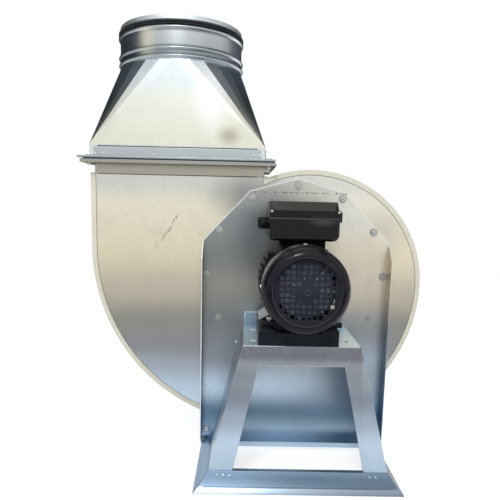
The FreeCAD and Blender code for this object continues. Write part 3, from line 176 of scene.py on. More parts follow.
def facingUp(tree):    # 1 on a level top, 0 on a wall
    normal = addNode(tree, "ShaderNodeNewGeometry").outputs["Normal"]
    return addNode(tree, "ShaderNodeSeparateXYZ", {0: normal}).outputs[2]


def heightTones(tree, height, tones):    # hex colours by height above the floor in millimetres
    low, high = tones[0][0] * mm, tones[-1][0] * mm
    ramp = addNode(tree, "ShaderNodeValToRGB", {0: spread(tree, height, 0.0, 1.0, low, high)})
    ramp.color_ramp.interpolation = "EASE"
    points = ramp.color_ramp.elements
    while len(points) < len(tones):
        points.new(0.5)
    for point, (level, tone) in zip(points, tones):
        point.position = (level * mm - low) / (high - low)
        point.color = colour(tone)
    return ramp.outputs[0]


def softSpot(tree, place, middle, reach):    # 1 in the middle, fading to 0 at the reach, millimetres
    scale = [1 / (r * mm) for r in reach]
    moved = [-m * mm * s for m, s in zip(middle, scale)]
    laid = addNode(tree, "ShaderNodeMapping", {"Location": moved, "Scale": scale, "Vector": place}).outputs[0]
    ball = addNode(tree, "ShaderNodeTexGradient", {"gradient_type": "SPHERICAL", "Vector": laid})
    return addNode(tree, "ShaderNodeMapRange", {"interpolation_type": "SMOOTHSTEP",
                                                "Value": ball.outputs["Fac"]}).outputs[0]


def addSpots(tree, place, base, spots):    # each spot: its middle and reach in millimetres, tone and share
    for middle, reach, tone, share in spots:
        spot = reckon(tree, "MULTIPLY", softSpot(tree, place, middle, reach), share)
        base = blendColours(tree, spot, base, tone)
    return base


# hot dip galvanised sheet steel: even satin zinc with its spangle rolled almost flat, so that crystals
# 6 mm wide differ by a few per cent only; rolling lines, dull handling marks; painted reflections and
# painted shade in the tones by height and across, warm above and bluer below
def galvanisedSheet(name, tones, rightTones=None, spots=(), paintedSkySheen=None, roughness=0.34, marked=0.16):
    material, tree, shader, place = startMaterial(name, roughness, 1.0)
    across, _, height = addNode(tree, "ShaderNodeSeparateXYZ", {0: place}).outputs
    base = heightTones(tree, height, tones)
    if rightTones:
        base = blendColours(tree, spread(tree, across, 0.0, 1.0, -0.11, 0.12), base,
                            heightTones(tree, height, rightTones))
    if paintedSkySheen:    # painted reflection of the sky on faces that look up
        base = blendColours(tree, spread(tree, facingUp(tree), 0.0, 1.0, 0.75, 0.95), base, paintedSkySheen)
    base = addSpots(tree, place, base, spots)
    spangle = 6.0
    cells = addNode(tree, "ShaderNodeTexVoronoi", {"Scale": 1 / (spangle * mm), "Vector": place})
    tone = addNode(tree, "ShaderNodeSeparateColor", {0: cells.outputs["Color"]}).outputs[0]
    cloud = grain(tree, place, 320)    # slow drift of tone, and waves in the sheet
    lines = grain(tree, place, 2.5, stretch=(1, 1, 0.02), detail=2.0)    # rolling lines
    marks = grain(tree, place, 70, detail=6.0)    # handling marks
    dull = reckon(tree, "MULTIPLY_ADD", tone, 0.06, spread(tree, cloud, 0.0, marked / 2))
    worn = reckon(tree, "ADD", dull, spread(tree, marks, 0.0, marked, 0.5, 0.75))
    feed(tree, shader["Base Color"], blendColours(tree, worn, base, "#6F7478"))
    lined = spread(tree, lines, roughness - 0.015, roughness + 0.015)
    feed(tree, shader["Roughness"], reckon(tree, "MULTIPLY_ADD", tone, 0.04, lined))
    roughen(tree, shader, cloud, 1.2, 0.12)
    return material


# zinc plated steel of bolts and washers: bright, slightly blue, with fine scratches
def zincPlatedSteel(name, tone="#D2D6D8", roughness=0.28):
    material, tree, shader, place = startMaterial(name, roughness, 1.0)
    specks = grain(tree, place, 2.5, detail=4.0)
    scratches = grain(tree, place, 0.8, stretch=(1, 0.1, 1))
    feed(tree, shader["Base Color"], blendColours(tree, spread(tree, specks, 0.0, 0.5), tone, "#9A9FA3"))
    feed(tree, shader["Roughness"], spread(tree, scratches, roughness - 0.06, roughness + 0.14))
    roughen(tree, shader, scratches, 0.03, 0.3)
    return material


# folded seam rim, matt: its cream a painted warm reflection, with brush waves a few millimetres long
def paintedSeamRim(name):
    material, tree, shader, place = startMaterial(name, 0.55, 0.0)
    waves = grain(tree, place, 14, detail=2.0)
    brushed = spread(tree, waves, 0.0, 1.0)
    feed(tree, shader["Base Color"], blendColours(tree, brushed, "#E8E5D4", "#DFDCC9"))
    roughen(tree, shader, waves, 0.3, 0.3)
    return material


# EPDM rubber, extruded: nearly black, matt, with a faint grey bloom
def epdmRubber(name):
    material, tree, shader, place = startMaterial(name, 0.7, 0.0)
    bloom = grain(tree, place, 14, detail=5.0)
    bloomed = spread(tree, bloom, 0.0, 1.0, 0.4, 0.75)
    feed(tree, shader["Base Color"], blendColours(tree, bloomed, "#1E2022", "#35383A"))
    roughen(tree, shader, grain(tree, place, 0.9), 0.05, 0.4)
    return material


# black enamel sprayed on castings and pressed steel: orange peel about 1.6 mm wide, some dust on top
def blackEnamel(name, tone="#0B0C0F", roughness=0.22, depth=0.03, shine=0.2, spots=()):
    material, tree, shader, place = startMaterial(name, roughness, 0.0)
    feed(tree, shader["Specular IOR Level"], shine)
    dust = grain(tree, place, 22, detail=6.0)
    lying = addNode(tree, "ShaderNodeMath", {"operation": "MULTIPLY", "use_clamp": True,
                                             0: facingUp(tree), 1: spread(tree, dust, 0.0, 0.14)})
    body = blendColours(tree, lying.outputs[0], tone, "#6E6A62")
    feed(tree, shader["Base Color"], addSpots(tree, place, body, spots))
    feed(tree, shader["Roughness"], spread(tree, dust, roughness - 0.05, roughness + 0.1))
    roughen(tree, shader, grain(tree, place, 1.6), depth, 0.5)
    return material


# moulded plastics, and small matt things that need no more than this, such as dirt in a joint: a fine
# spark eroded grain drawn 0.8 mm wide so that it shows
def mouldedPlastic(name, tone, shade, roughness, shine=0.28, dustAndTopSheen=0.0, spots=()):
    material, tree, shader, place = startMaterial(name, roughness, 0.0)
    feed(tree, shader["Specular IOR Level"], shine)
    cloud = grain(tree, place, 30, detail=4.0)
    body = blendColours(tree, spread(tree, cloud, 0.0, 1.0), tone, shade)
    # faces that look up paler: dust, and on the terminal box's lid a painted reflection of the sky
    body = blendColours(tree, spread(tree, facingUp(tree), 0.0, dustAndTopSheen, 0.4, 1.0), body, "#77746B")
    feed(tree, shader["Base Color"], addSpots(tree, place, body, spots))
    fine = grain(tree, place, 0.8)
    feed(tree, shader["Roughness"], spread(tree, fine, roughness - 0.05, roughness + 0.07))
    roughen(tree, shader, fine, 0.04, 0.5)
    return material


# metals that are turned, cast or stacked: rings of tool marks or laminations along the shaft
def machinedMetal(name, tone, shade, roughness, pitch):
    material, tree, shader, place = startMaterial(name, roughness, 1.0)
    rings = grain(tree, place, pitch, stretch=(0.05, 1, 0.05), detail=2.0)
    feed(tree, shader["Base Color"], blendColours(tree, spread(tree, rings, 0.0, 1.0), tone, shade))
    feed(tree, shader["Roughness"], spread(tree, rings, roughness - 0.05, roughness + 0.1))
    roughen(tree, shader, rings, 0.05, 0.3)
    return material


# varnished copper winding: wires 1.2 mm wide round the stator, a lacquer gloss over them
def varnishedCopper(name):
    material, tree, shader, place = startMaterial(name, 0.35, 0.6)
    wire, ringsPerUnit = 1.2, 20    # a wave texture draws that many rings in a unit of its scale
    wires = addNode(tree, "ShaderNodeTexWave", {"wave_type": "RINGS", "rings_direction": "Y",
                                                "Scale": 1 / (wire * ringsPerUnit * mm), "Distortion": 4.0,
                                                "Vector": place}).outputs["Fac"]
    feed(tree, shader["Base Color"], blendColours(tree, wires, "#6E3418", "#B8683A"))
    roughen(tree, shader, wires, 0.3, 0.6)
    return material


# tones of the sheets, each at its height above the floor in millimetres: painted reflections of the
# surroundings, warm above and bluer below, with painted dark bands and painted shade
scrollTones = [(110, "#BCCBDB"), (149, "#B1C2D3"), (213, "#A0A8B3"), (258, "#96989C"), (320, "#A8A69F"),
               (402, "#DDD4C0"), (495, "#F1E7CB"), (610, "#EDE8D4"), (671, "#D6D6CF"), (720, "#DAD9D0")]
plateTones = [(20, "#B4CCE2"), (90, "#6E8AA0"), (151, "#BFD1E1"), (236, "#949BA4"), (322, "#93989B"),
              (414, "#A9A9A2"), (494, "#8D9190"), (590, "#979D9E"), (660, "#B9BAB2")]
plateRightTones = [(20, "#B4CCE2"), (85, "#7390A8"), (128, "#8FA2B4"), (190, "#98A7B4"), (240, "#A6B2BF"),
                   (298, "#A0A6AB"), (421, "#E6DBC9"), (497, "#E7DDC9"), (588, "#E0DED2"), (660, "#D2D1C8")]
pedestalTones = [(0, "#5F6F80"), (2, "#8291A1"), (9, "#8C9BAA"), (11, "#64768A"), (15, "#5E7084"),
                 (24, "#5F7386"), (37, "#70849A"), (42, "#A6B8CA"), (103, "#AFC0D2"), (156, "#96A3B1"),
                 (204, "#868E9A"), (247, "#A0A7B0"), (284, "#B9BEC6"), (300, "#9EA0A6"), (318, "#A4A7AD"),
                 (330, "#93A6B2")]
rightRailTones = [(0, "#7D8A98"), (4, "#5A6878"), (38, "#536376")]    # side rails, painted darker than the front rail: painted shade in their reflection
leftRailTones = [(0, "#8FA9C2"), (10, "#7393B0"), (38, "#6A8AA8")]
flangeTones = [(690, "#AFAB9D"), (714, "#A8A497"), (719, "#8A9298"), (724, "#A4ADB1"), (732, "#B6BDC0"),
               (749, "#BAC1C4"), (752, "#DADFE1"), (756, "#A6AEB3")]
ductTones = [(752, "#D9E0E1"), (758, "#E2E2D1"), (800, "#E4E4D6"), (860, "#E2E5DC"), (920, "#D6DFE2"),
             (960, "#CDDAE0")]
spigotTones = [(955, "#A2AAAF"), (965, "#B2BABE"), (971, "#858D93"), (977, "#858D93"), (983, "#B4BCBF"),
               (989, "#858D93"), (993, "#AFB5B7"), (1019, "#B7BCBD"), (1023, "#858D93"), (1029, "#B6BCBF"),
               (1036, "#858D93"), (1060, "#BAC2C7")]
hemTones = [(1040, "#C3CCD1"), (1060, "#D3DBDF")]
plainTones = [(0, "#C2C8CC"), (1000, "#C9CCCB")]

# soft patches of painted shade, painted highlight and painted reflection: middle, reach, tone and share
motorShade = ((-95, -167, 545), (95, 60, 130), "#565F66", 0.68)    # carrier plate beside the motor
boxShade = ((-60, -167, 640), (110, 60, 70), "#8A8F90", 0.5)    # carrier plate above the terminal box
flangeShade = ((187, -205, 430), (34, 45, 270), "#55554E", 0.9)    # inside of its right side flange
neckShade = ((-118, -165, 636), (135, 40, 92), "#7F8281", 0.85)    # casing under the neck's right end
scrollShade = ((215, -165, 570), (110, 60, 120), "#C6C2B6", 0.7)    # casing, high on the right
railShade = ((-5, -392, 26), (150, 30, 14), "#4E6474", 0.6)    # middle of the front rail
platformShade = ((-92, -168, 323), (62, 52, 24), "#75889A", 0.55)    # platform's back corner
dentShade = ((-170, -167, 782), (42, 60, 34), "#8E8A80", 0.6)    # low on the duct's front
rightShine = ((-215, -160, 880), (62, 60, 130), "#FAFCFC", 0.9)    # painted highlight on the duct's front facets on the right
leftFacetShade = ((-474, -105, 870), (62, 90, 160), "#6E7276", 0.8)    # painted dark reflection on the duct's outer facets
# painted dark reflection on the duct's right side
rightFacetShade = ((-124, -110, 870), (50, 90, 140), "#858888", 0.75)
edgeShine = ((-158, -60, 1005), (34, 90, 70), "#F2F6FA", 0.9)    # painted highlight on the spigot's right flank
warmShine = ((-375, -150, 1005), (38, 60, 60), "#E2DDC8", 0.8)    # painted warm reflection on the spigot's left front
beadShine = ((-72, -385, 492), (52, 40, 66), "#B8B8AC", 0.95)    # painted highlight on the cowl's beads, lit on their upper left
cowlFaceSheen = ((0, -427, 448), (115, 10, 115), "#2C303A", 0.9)    # painted sheen: the cowl's face paler than its shoulder
boxFrontHighlight = ((38, -341, 588), (44, 30, 15), "#46464C", 0.85)    # painted highlight on the terminal box's front

finishes = {
    "scrollSheet": galvanisedSheet("galvanisedScrollSheet", scrollTones,
                                   spots=(neckShade, scrollShade), marked=0.10),
    "plateSheet": galvanisedSheet("galvanisedPlateSheet", plateTones, plateRightTones,
                                  (motorShade, boxShade, flangeShade), marked=0.10),
    "pedestalSheet": galvanisedSheet("galvanisedPedestalSheet", pedestalTones, paintedSkySheen="#D8EEFA",
                                     spots=(railShade, platformShade), roughness=0.30, marked=0.10),
    "rightRailSheet": galvanisedSheet("galvanisedRightRailSheet", rightRailTones, marked=0.08),
    "leftRailSheet": galvanisedSheet("galvanisedLeftRailSheet", leftRailTones, marked=0.08),
    "flangeSheet": galvanisedSheet("galvanisedFlangeSheet", flangeTones, roughness=0.32, marked=0.08),
    "ductSheet": galvanisedSheet("galvanisedDuctSheet", ductTones,
                                 spots=(rightShine, rightFacetShade, leftFacetShade, dentShade),
                                 roughness=0.28, marked=0.06),
    "spigotSheet": galvanisedSheet("galvanisedSpigotSheet", spigotTones, spots=(warmShine, edgeShine),
                                   roughness=0.33, marked=0.06),
    "hemSheet": galvanisedSheet("galvanisedHem", hemTones, roughness=0.5, marked=0.04),
    "innerSheet": galvanisedSheet("galvanisedInnerSheet", plainTones, roughness=0.4),
    "seamRim": paintedSeamRim("seamRimPaintedWarmReflection"),
    "rubber": epdmRubber("extrudedEpdmRubber"),
    "zinc": zincPlatedSteel("zincPlatedSteel"),
    "dullZinc": zincPlatedSteel("dullZincPlatedSteel", "#C8C8BF", roughness=0.36),
    "brightZincAndHighlight": zincPlatedSteel("brightZincAndPaintedHighlight", "#F0F4F6", roughness=0.5),
    "edgeHighlight": zincPlatedSteel("paintedEdgeHighlight", "#FBFCFA", roughness=0.6),
    "jointShade": mouldedPlastic("darkJointPaintedShade", "#6E706D", "#5A5D5E", roughness=0.8),
    "paintedShade": mouldedPlastic("greyPaintedShade", "#3E3F3C", "#333432", roughness=0.6),
    "highlightLip": mouldedPlastic("polishedLipPaintedHighlight", "#4C4C50", "#3E3E42", roughness=0.2),
    "cowlBead": mouldedPlastic("enamelBeadPaintedHighlight", "#1B1C20", "#16171A", roughness=0.2, spots=(beadShine,)),
    "rubbedMark": mouldedPlastic("rubbedDullMark", "#85807A", "#6A6661", roughness=0.7),
    "raiserEnamel": blackEnamel("blackEnamelOnRaiser", tone="#161C24", roughness=0.3),
    "castEnamel": blackEnamel("blackEnamelOnCasting", roughness=0.34, depth=0.08),
    "sheetEnamel": blackEnamel("blackEnamelOnPressedSteel", tone="#0A0C12", roughness=0.15, shine=0.14,
                               spots=(cowlFaceSheen,)),
    "absBlack": mouldedPlastic("mouldedAbsBlack", "#0F1013", "#121316", roughness=0.22, shine=0.2, dustAndTopSheen=0.28,
                               spots=(boxFrontHighlight,)),
    "nylonFan": mouldedPlastic("mouldedNylonGrey", "#A3A8BA", "#8D92A4", roughness=0.5),
    "glandNylon": mouldedPlastic("mouldedNylonBlack", "#08090B", "#0F1012", roughness=0.36, shine=0.16),
    "canPlastic": mouldedPlastic("mouldedPolypropyleneWhite", "#D9D8D2", "#C6C4BC", roughness=0.45),
    "phenolic": mouldedPlastic("mouldedPhenolicBrown", "#6B4325", "#57361E", roughness=0.4),
    "turnedSteel": machinedMetal("turnedSteel", "#A9AAAB", "#86888A", roughness=0.24, pitch=0.8),
    "castAluminium": machinedMetal("dieCastAluminium", "#B4B6B7", "#9B9EA0", roughness=0.45, pitch=2.5),
    "laminations": machinedMetal("stackedSiliconSteel", "#5F6163", "#46484A", roughness=0.5, pitch=1.0),
    "copper": varnishedCopper("varnishedCopperWire"),
}
print("made", len(finishes), "materials")

# which finish each CAD node has
nodeFinish = {
    "scrollSheet": ["drive_side_plate", "inlet_side_plate", "scroll_wrapper"],
    "seamRim": ["drive_seam_rim", "inlet_seam_rim"],
    "flangeSheet": ["outlet_flange", "transition_flange"],
    "ductSheet": ["transition_duct"],
    "spigotSheet": ["outlet_spigot", "inlet_spigot"],
    "rubber": ["flange_gasket", "spigot_gasket"],
    "innerSheet": ["inlet_cone", "impeller_backplate", "impeller_blades", "impeller_shroud"],
    "plateSheet": ["support_plate", "inlet_side_stay"],
    "pedestalSheet": ["motor_platform", "right_pedestal_side", "left_pedestal_side", "front_base_rail",
                      "rear_right_rail", "rear_left_rail", "rear_cross_rail"],
    "rightRailSheet": ["right_base_rail"],
    "leftRailSheet": ["left_base_rail"],
    "dullZinc": ["support_plate_washers"],
    "zinc": ["flange_corner_bolts", "inlet_screws", "hub_screw", "support_plate_bolts", "platform_bolts",
             "stay_bolts", "foot_bolts", "foot_nuts", "cowl_screws", "lid_screws"],
    "brightZincAndHighlight": ["frame_joint_bolts"],
    "castAluminium": ["impeller_hub"],
    "turnedSteel": ["shaft_key", "motor_shaft", "bearing_outer_rings", "bearing_inner_rings"],
    "castEnamel": ["motor_frame", "drive_end_shield", "fan_end_shield"],
    "raiserEnamel": ["raiser_rails", "motor_feet"],
    "sheetEnamel": ["fan_cowl"],
    "laminations": ["stator_core", "rotor_core"],
    "copper": ["stator_windings"],
    "nylonFan": ["cooling_fan"],
    "absBlack": ["terminal_box", "terminal_box_lid"],
    "glandNylon": ["cable_gland"],
    "canPlastic": ["run_capacitor"],
    "phenolic": ["terminal_block"],
}
finishOfNode = {}
for finish, members in nodeFinish.items():
    for member in members:
        finishOfNode[member] = finish
        for socket in nodes[member].material_slots:
            socket.material = finishes[finish]
print("finished the CAD nodes")


# small helpers for the pieces
def weldedCopy(node):    # a CAD node's mesh with shared corners
    form = bmesh.new()
    form.from_mesh(nodes[node].data)
    bmesh.ops.remove_doubles(form, verts=form.verts, dist=sameSpot)
    return form


def placePiece(name, form, finish, covers=(), crease=30, even=False, body="frame"):
    bmesh.ops.recalc_face_normals(form, faces=form.faces)
    mesh = bpy.data.meshes.new(name)
    form.to_mesh(mesh)
    form.free()
    for face in mesh.polygons:
        face.use_smooth = True
    mesh.set_sharp_from_angle(angle=math.radians(crease))
    mesh.materials.append(finishes[finish])
    piece = bpy.data.objects.new(name, mesh)
    bpy.context.scene.collection.objects.link(piece)
    if even:
        piece.modifiers.new("evenShading", "WEIGHTED_NORMAL").keep_sharp = True
    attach(piece, body)
    if covers:
        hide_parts(*covers)


def joinRings(form, rings):    # faces between neighbouring rings of points, with a cap on both ends
    loops = [[form.verts.new(Vector(point) * mm) for point in ring] for ring in rings]
    for first, second in zip(loops, loops[1:]):
        for index in range(len(first)):
            after = (index + 1) % len(first)
            form.faces.new((first[index], first[after], second[after], second[index]))
    form.faces.new(loops[0])
    form.faces.new(loops[-1])


def addFace(form, points):    # corners in millimetres
    form.faces.new([form.verts.new(Vector(point) * mm) for point in points])


def turnedForm(outline, middle, axis, steps):    # a closed outline in radius and height, millimetres
    form = bmesh.new()
    side = Vector((1, 0, 0))    # square to every axis used here, upright or along the shaft
    ring = [form.verts.new((middle + side * radius + axis * height) * mm) for radius, height in outline]
    edges = [form.edges.new((ring[index], ring[(index + 1) % len(ring)])) for index in range(len(ring))]
    bmesh.ops.spin(form, geom=ring + edges, cent=middle * mm, axis=axis, angle=2 * math.pi, steps=steps,
                   use_merge=True)
    bmesh.ops.remove_doubles(form, verts=form.verts, dist=0.01 * mm)
    return form


def addTurned(form, outline, middle, axis, steps):    # the same, as one of several in a form
    turned = turnedForm(outline, middle, axis, steps)
    mesh = bpy.data.meshes.new("turned")
    turned.to_mesh(mesh)
    turned.free()
    form.from_mesh(mesh)
    bpy.data.meshes.remove(mesh)


def cornerOutline(left, right, low, high, sizes, straight=()):    # a rectangle with shaped corners
    corners = [((left, low), (0, -1), (1, 0)), ((right, low), (1, 0), (0, 1)),
               ((right, high), (0, 1), (-1, 0)), ((left, high), (-1, 0), (0, -1))]
    points, steps = [], 5
    for number, ((x, z), (inX, inZ), (outX, outZ)) in enumerate(corners):
        first, second = sizes[number]
        for step in range(steps + 1):
            part = step / steps
            before, after = 1 - part, part
            if number not in straight:
                before, after = 1 - math.sin(part * math.pi / 2), 1 - math.cos(part * math.pi / 2)
            points.append((x - inX * first * before + outX * second * after,
                           z - inZ * first * before + outZ * second * after))
    return points


def insetOutline(edges, inset, sizes, straight=()):    # the same with every edge moved inwards
    left, right, low, high = edges
    return cornerOutline(left + inset, right - inset, low + inset, high - inset, sizes, straight)


# folded and cast edges: the radius in millimetres that the press or the mould leaves
edgeRounding = {
    "support_plate": 0.8,
    "motor_platform": 1.3,
    "left_pedestal_side": 1.2,
    "right_pedestal_side": 1.2,
    "front_base_rail": 0.9,
    "left_base_rail": 0.9,
    "right_base_rail": 0.9,
    "outlet_flange": 0.8,
    "transition_flange": 0.8,
    "transition_duct": 0.0,
    "raiser_rails": 1.5,
    "motor_feet": 2.0,
    "cooling_fan": 0.6,
    "fan_cowl": 0.0,
    "motor_frame": 0.0,
    "drive_seam_rim": 0.4,
    "inlet_seam_rim": 0.4,
}
foldCrease, ductCrease = 38, 4    # degrees above which an edge stays a crease; the duct's facets are shallow


def softenNode(node, radius):
    form = weldedCopy(node)
    flat, folded = math.radians(1), math.radians(35)
    if radius:
        bmesh.ops.dissolve_limit(form, angle_limit=flat, verts=form.verts, edges=form.edges)
        sharp = [edge for edge in form.edges if len(edge.link_faces) == 2
                 and edge.calc_face_angle() > folded and edge.calc_length() > 4 * radius * mm]
        bmesh.ops.bevel(form, geom=sharp, offset=radius * mm, affect="EDGES", segments=2, profile=0.5,
                        material=-1, clamp_overlap=False)
    crease = ductCrease if node == "transition_duct" else foldCrease
    body = body_of(nodes[node])[0]
    placePiece(node + "_softened", form, finishOfNode[node], (node,), crease, True, body)


for node, radius in edgeRounding.items():
    softenNode(node, radius)
print("softened", len(edgeRounding), "nodes")


# spigot: rolled beads, a groove with a seal, and a hemmed end, from one strip of sheet
spigotLook = {
    "middle": Vector((-303.9, 0, 0)),
    "radius": 157.5,
    "sheet": 1.5,
    "foot": 958.0,
    "beads": (965.0, 983.0, 1029.5),
    "beadWidth": 11.0,
    "beadHeight": 4.5,
    "beadSteps": 8,
    "beadPower": 1.3,    # above 1 the bead's feet are hollow
    "groove": (1035.0, 1047.0),
    "grooveDepth": 2.5,
    "top": 1057.0,
    "hem": 3.5,
    "hemSteps": 6,
    "lips": ((4.2, 0.6), (4.5, 1.4), (3.9, 2.3), (0.4, 3.6)),    # reach of the seal's lip, by height
    "lipPitch": 6,
    "steps": 160,
}


def beadedLine(look, radius):
    points = []
    for middle in look["beads"]:
        for step in range(look["beadSteps"] + 1):
            part = step / look["beadSteps"]
            points.append((radius + look["beadHeight"] * math.sin(math.pi * part) ** look["beadPower"],
                           middle + look["beadWidth"] * (part - 0.5)))
    return [(radius, look["foot"])] + points


def makeSpigot(look):
    outside, top = look["radius"], look["top"]
    low, high = look["groove"]
    floor = outside - look["grooveDepth"]
    wall = look["sheet"]
    curl = look["hem"] / 2
    outline = beadedLine(look, outside) + [(floor, low + 0.5), (floor, high - 0.3), (outside, high)]
    outline += [(outside - 2 * curl, high), (floor - wall, high - 2), (floor - wall, low + 1)]    # inside
    outline += beadedLine(look, outside - wall)[::-1]
    form = turnedForm(outline, look["middle"], skywards, look["steps"])
    placePiece("rolledSpigot", form, "spigotSheet", ("outlet_spigot",), 40)
    hem = [(outside, high)]
    for step in range(look["hemSteps"] + 1):
        angle = math.pi * step / look["hemSteps"]
        hem.append((outside - curl * (1 - math.cos(angle)), top - curl + curl * math.sin(angle)))
    hem.append((outside - 2 * curl, high))
    form = turnedForm(hem, look["middle"], skywards, look["steps"])
    placePiece("rolledHem", form, "hemSheet", (), 40)


def makeSpigotSeal(look):    # extruded strip with two lips that lean back
    inside, outside = look["radius"] - look["grooveDepth"], look["radius"]
    low, high = look["groove"]
    outline = [(inside, low), (outside, low)]
    for foot in (low, low + look["lipPitch"]):
        outline += [(outside + reach, foot + lift) for reach, lift in look["lips"]]
    outline += [(outside, high), (inside, high)]
    form = turnedForm(outline, look["middle"], skywards, look["steps"])
    placePiece("doubleLipSeal", form, "rubber", ("spigot_gasket",), 30)


makeSpigot(spigotLook)
makeSpigotSeal(spigotLook)
print("spigot and seal made")


# terminal box: moulded tub with a raised front panel, and a lid with a long bevel, cut away at its front
# corners for the screws
boxLook = {
    "half": 75.0,
    "bottom": 545.0,
    "joint": 595.0,
    "walls": ((-341.5, 7.0), (-341.1, 6.0), (-337.4, 0.8), (-336.4, 0.0), (-206.6, 0.0), (-205.6, 0.8),
              (-201.9, 6.0), (-201.5, 7.0)),    # place along the shaft, and how far that section is set in
    "lowerRound": (6.0, 14.0),
    "lidHalf": 76.5,
    "lidFront": -343.0,
    "lidBack": -200.0,
    "skirt": ((595.0, 0.7), (595.9, 0.0), (609.8, 0.0), (610.7, 0.9)),
    "notch": (13.0, 19.0),
    "crown": ((627.6, 0.0), (628.7, 0.7), (629.0, 2.0)),
    "crownSpan": (-305.0, -220.0),
    "crownHalf": 74.5,
    "ledge": ((-4.0, 1.4), (-3.4, 0.2), (-0.9, 0.0), (-0.4, 0.5)),    # height from the joint, and inset
    "ledgeReach": 0.8,
    "hinges": (-325.0, -225.0),
    "hingeHalf": 9,
    "hingeHeights": (586.0, 608.5),
    "hingeFaces": ((74.0, 0.0), (79.7, 0.0), (80.5, 1.0)),    # place across, and inset
}


def makeTerminalBox(look):
    form = bmesh.new()
    left, right = look["lowerRound"]
    rings = []
    for y, inset in look["walls"]:
        low, high = look["bottom"] + inset * 0.7, look["joint"] - inset * 0.6
        outline = cornerOutline(-look["half"] + inset, look["half"] - inset, low, high,
                                [(left, left), (right, right), (2, 2), (2, 2)])
        rings.append([(x, y, z) for x, z in outline])
    joinRings(form, rings)
    placePiece("mouldedTub", form, "absBlack", ("terminal_box",), 32, True)


def makeBoxLedge(look):    # polished ledge under the lid, paler: a painted highlight line
    form = bmesh.new()
    front, back = look["walls"][0][0], look["walls"][-1][0]
    reach = look["ledgeReach"]
    edges = (-look["half"] - reach, look["half"] + reach, front - reach, back + reach)
    joinRings(form, [[(x, y, look["joint"] + lift) for x, y in insetOutline(edges, inset, [(3, 3)] * 4)]
                     for lift, inset in look["ledge"]])
    placePiece("boxLedge", form, "highlightLip", (), 32, True)


def makeTerminalBoxLid(look):
    form = bmesh.new()
    edges = (-look["lidHalf"], look["lidHalf"], look["lidFront"], look["lidBack"])
    joinRings(form, [[(x, y, z) for x, y in insetOutline(edges, inset, [(3, 3)] * 4)]
                     for z, inset in look["skirt"]])
    across, along = look["notch"]
    shelf = look["skirt"][-1][0] - 0.4    # a little down inside the skirt
    sizes = [(along, across), (across, along), (3, 3), (3, 3)]    # the front corners are cut straight
    rings = [[(x, y, shelf) for x, y in insetOutline(edges, 1, sizes, (0, 1))]]
    edges = (-look["crownHalf"], look["crownHalf"], *look["crownSpan"])
    sizes = [(1.5, 1.5), (1.5, 1.5), (2, 2), (2, 2)]
    for z, inset in look["crown"]:
        rings.append([(x, y, z) for x, y in insetOutline(edges, inset, sizes)])
    joinRings(form, rings)
    placePiece("mouldedLid", form, "absBlack", ("terminal_box_lid",), 30, True)


def makeLidHinges(look):    # two moulded clips on the right
    form = bmesh.new()
    for y in look["hinges"]:
        edges = (y - look["hingeHalf"], y + look["hingeHalf"], *look["hingeHeights"])
        joinRings(form, [[(x, a, b) for a, b in insetOutline(edges, inset, [(2, 2)] * 4)]
                         for x, inset in look["hingeFaces"]])
    placePiece("lidHinges", form, "absBlack", (), 32)


makeTerminalBox(boxLook)
makeBoxLedge(boxLook)
makeTerminalBoxLid(boxLook)
makeLidHinges(boxLook)
print("terminal box made")


# cable gland: collar, ribbed cap nut and open mouth, moulded nylon
glandLook = {
    "middle": (-271.5, 580.0),
    "rings": ((-74.0, 14.0, 0.0), (-78.2, 14.0, 0.0), (-78.8, 13.4, 0.0), (-79.0, 12.4, 0.0),
              (-80.2, 12.6, 0.0), (-81.0, 13.1, 0.5), (-92.5, 13.1, 0.5), (-95.5, 12.2, 0.3),
              (-98.2, 10.4, 0.0), (-99.0, 9.2, 0.0), (-98.8, 6.4, 0.0), (-97.0, 6.0, 0.0),
              (-80.0, 6.0, 0.0)),    # place, radius and rib height
    "ribs": 18,
    "points": 144,
}


def makeGland(look):
    form = bmesh.new()
    middleY, middleZ = look["middle"]
    rings = []
    for x, radius, rib in look["rings"]:
        ring = []
        for number in range(look["points"]):
            angle = 2 * math.pi * number / look["points"]
            reach = radius + rib * math.cos(look["ribs"] * angle)
            ring.append((x, middleY + reach * math.cos(angle), middleZ + reach * math.sin(angle)))
        rings.append(ring)
    joinRings(form, rings)
    placePiece("ribbedGland", form, "glandNylon", ("cable_gland",), 40)


makeGland(glandLook)
print("gland made")


# small fixings and marks on the sheets, in millimetres
detailLook = {
    "flangeRivets": [(-492.0, 732.0), (-475.3, 734.0), (-350.6, 733.0), (-225.5, 736.0), (-109.7, 736.0),
                     (-97.6, 736.0)],
    "neckRivets": [(-459.2, 695.5), (-336.2, 697.0), (-242.0, 696.0), (-140.2, 694.0)],
    "rivetFace": casingFace - 2,    # the flanges' upright leaf
    "rivetSize": (2.6, 1.1),    # radius and height
    "plateScrews": [(-143.7, 273.8)],
    "screwSize": (3.4, 1.8),
    "baseWelds": [(-179.0, 31.5), (-165.0, 31.0), (-150.8, 30.5), (158.4, 30.8), (171.7, 31.1)],
    "weldSize": (2.0, 0.4),
    "railTop": (-379.5, 38.0),    # the front rail slopes down from here
    "railFall": (31, 38),    # so far to the front over that height
    "stitches": (-112.0, 117.0, 650.5, 30),    # a dashed line: start, end, height and count
    "stitchSize": (1.5, 0.35),
    "stitchSpread": (0.3, 1.5),
}


def addDome(form, place, facing, radius, height):
    turned = skywards.rotation_difference(facing).to_matrix().to_4x4()
    flatness = Matrix.Diagonal((radius * mm, radius * mm, height * mm, 1))
    bmesh.ops.create_uvsphere(form, u_segments=20, v_segments=10, radius=1.0,
                              matrix=Matrix.Translation(Vector(place) * mm) @ turned @ flatness)


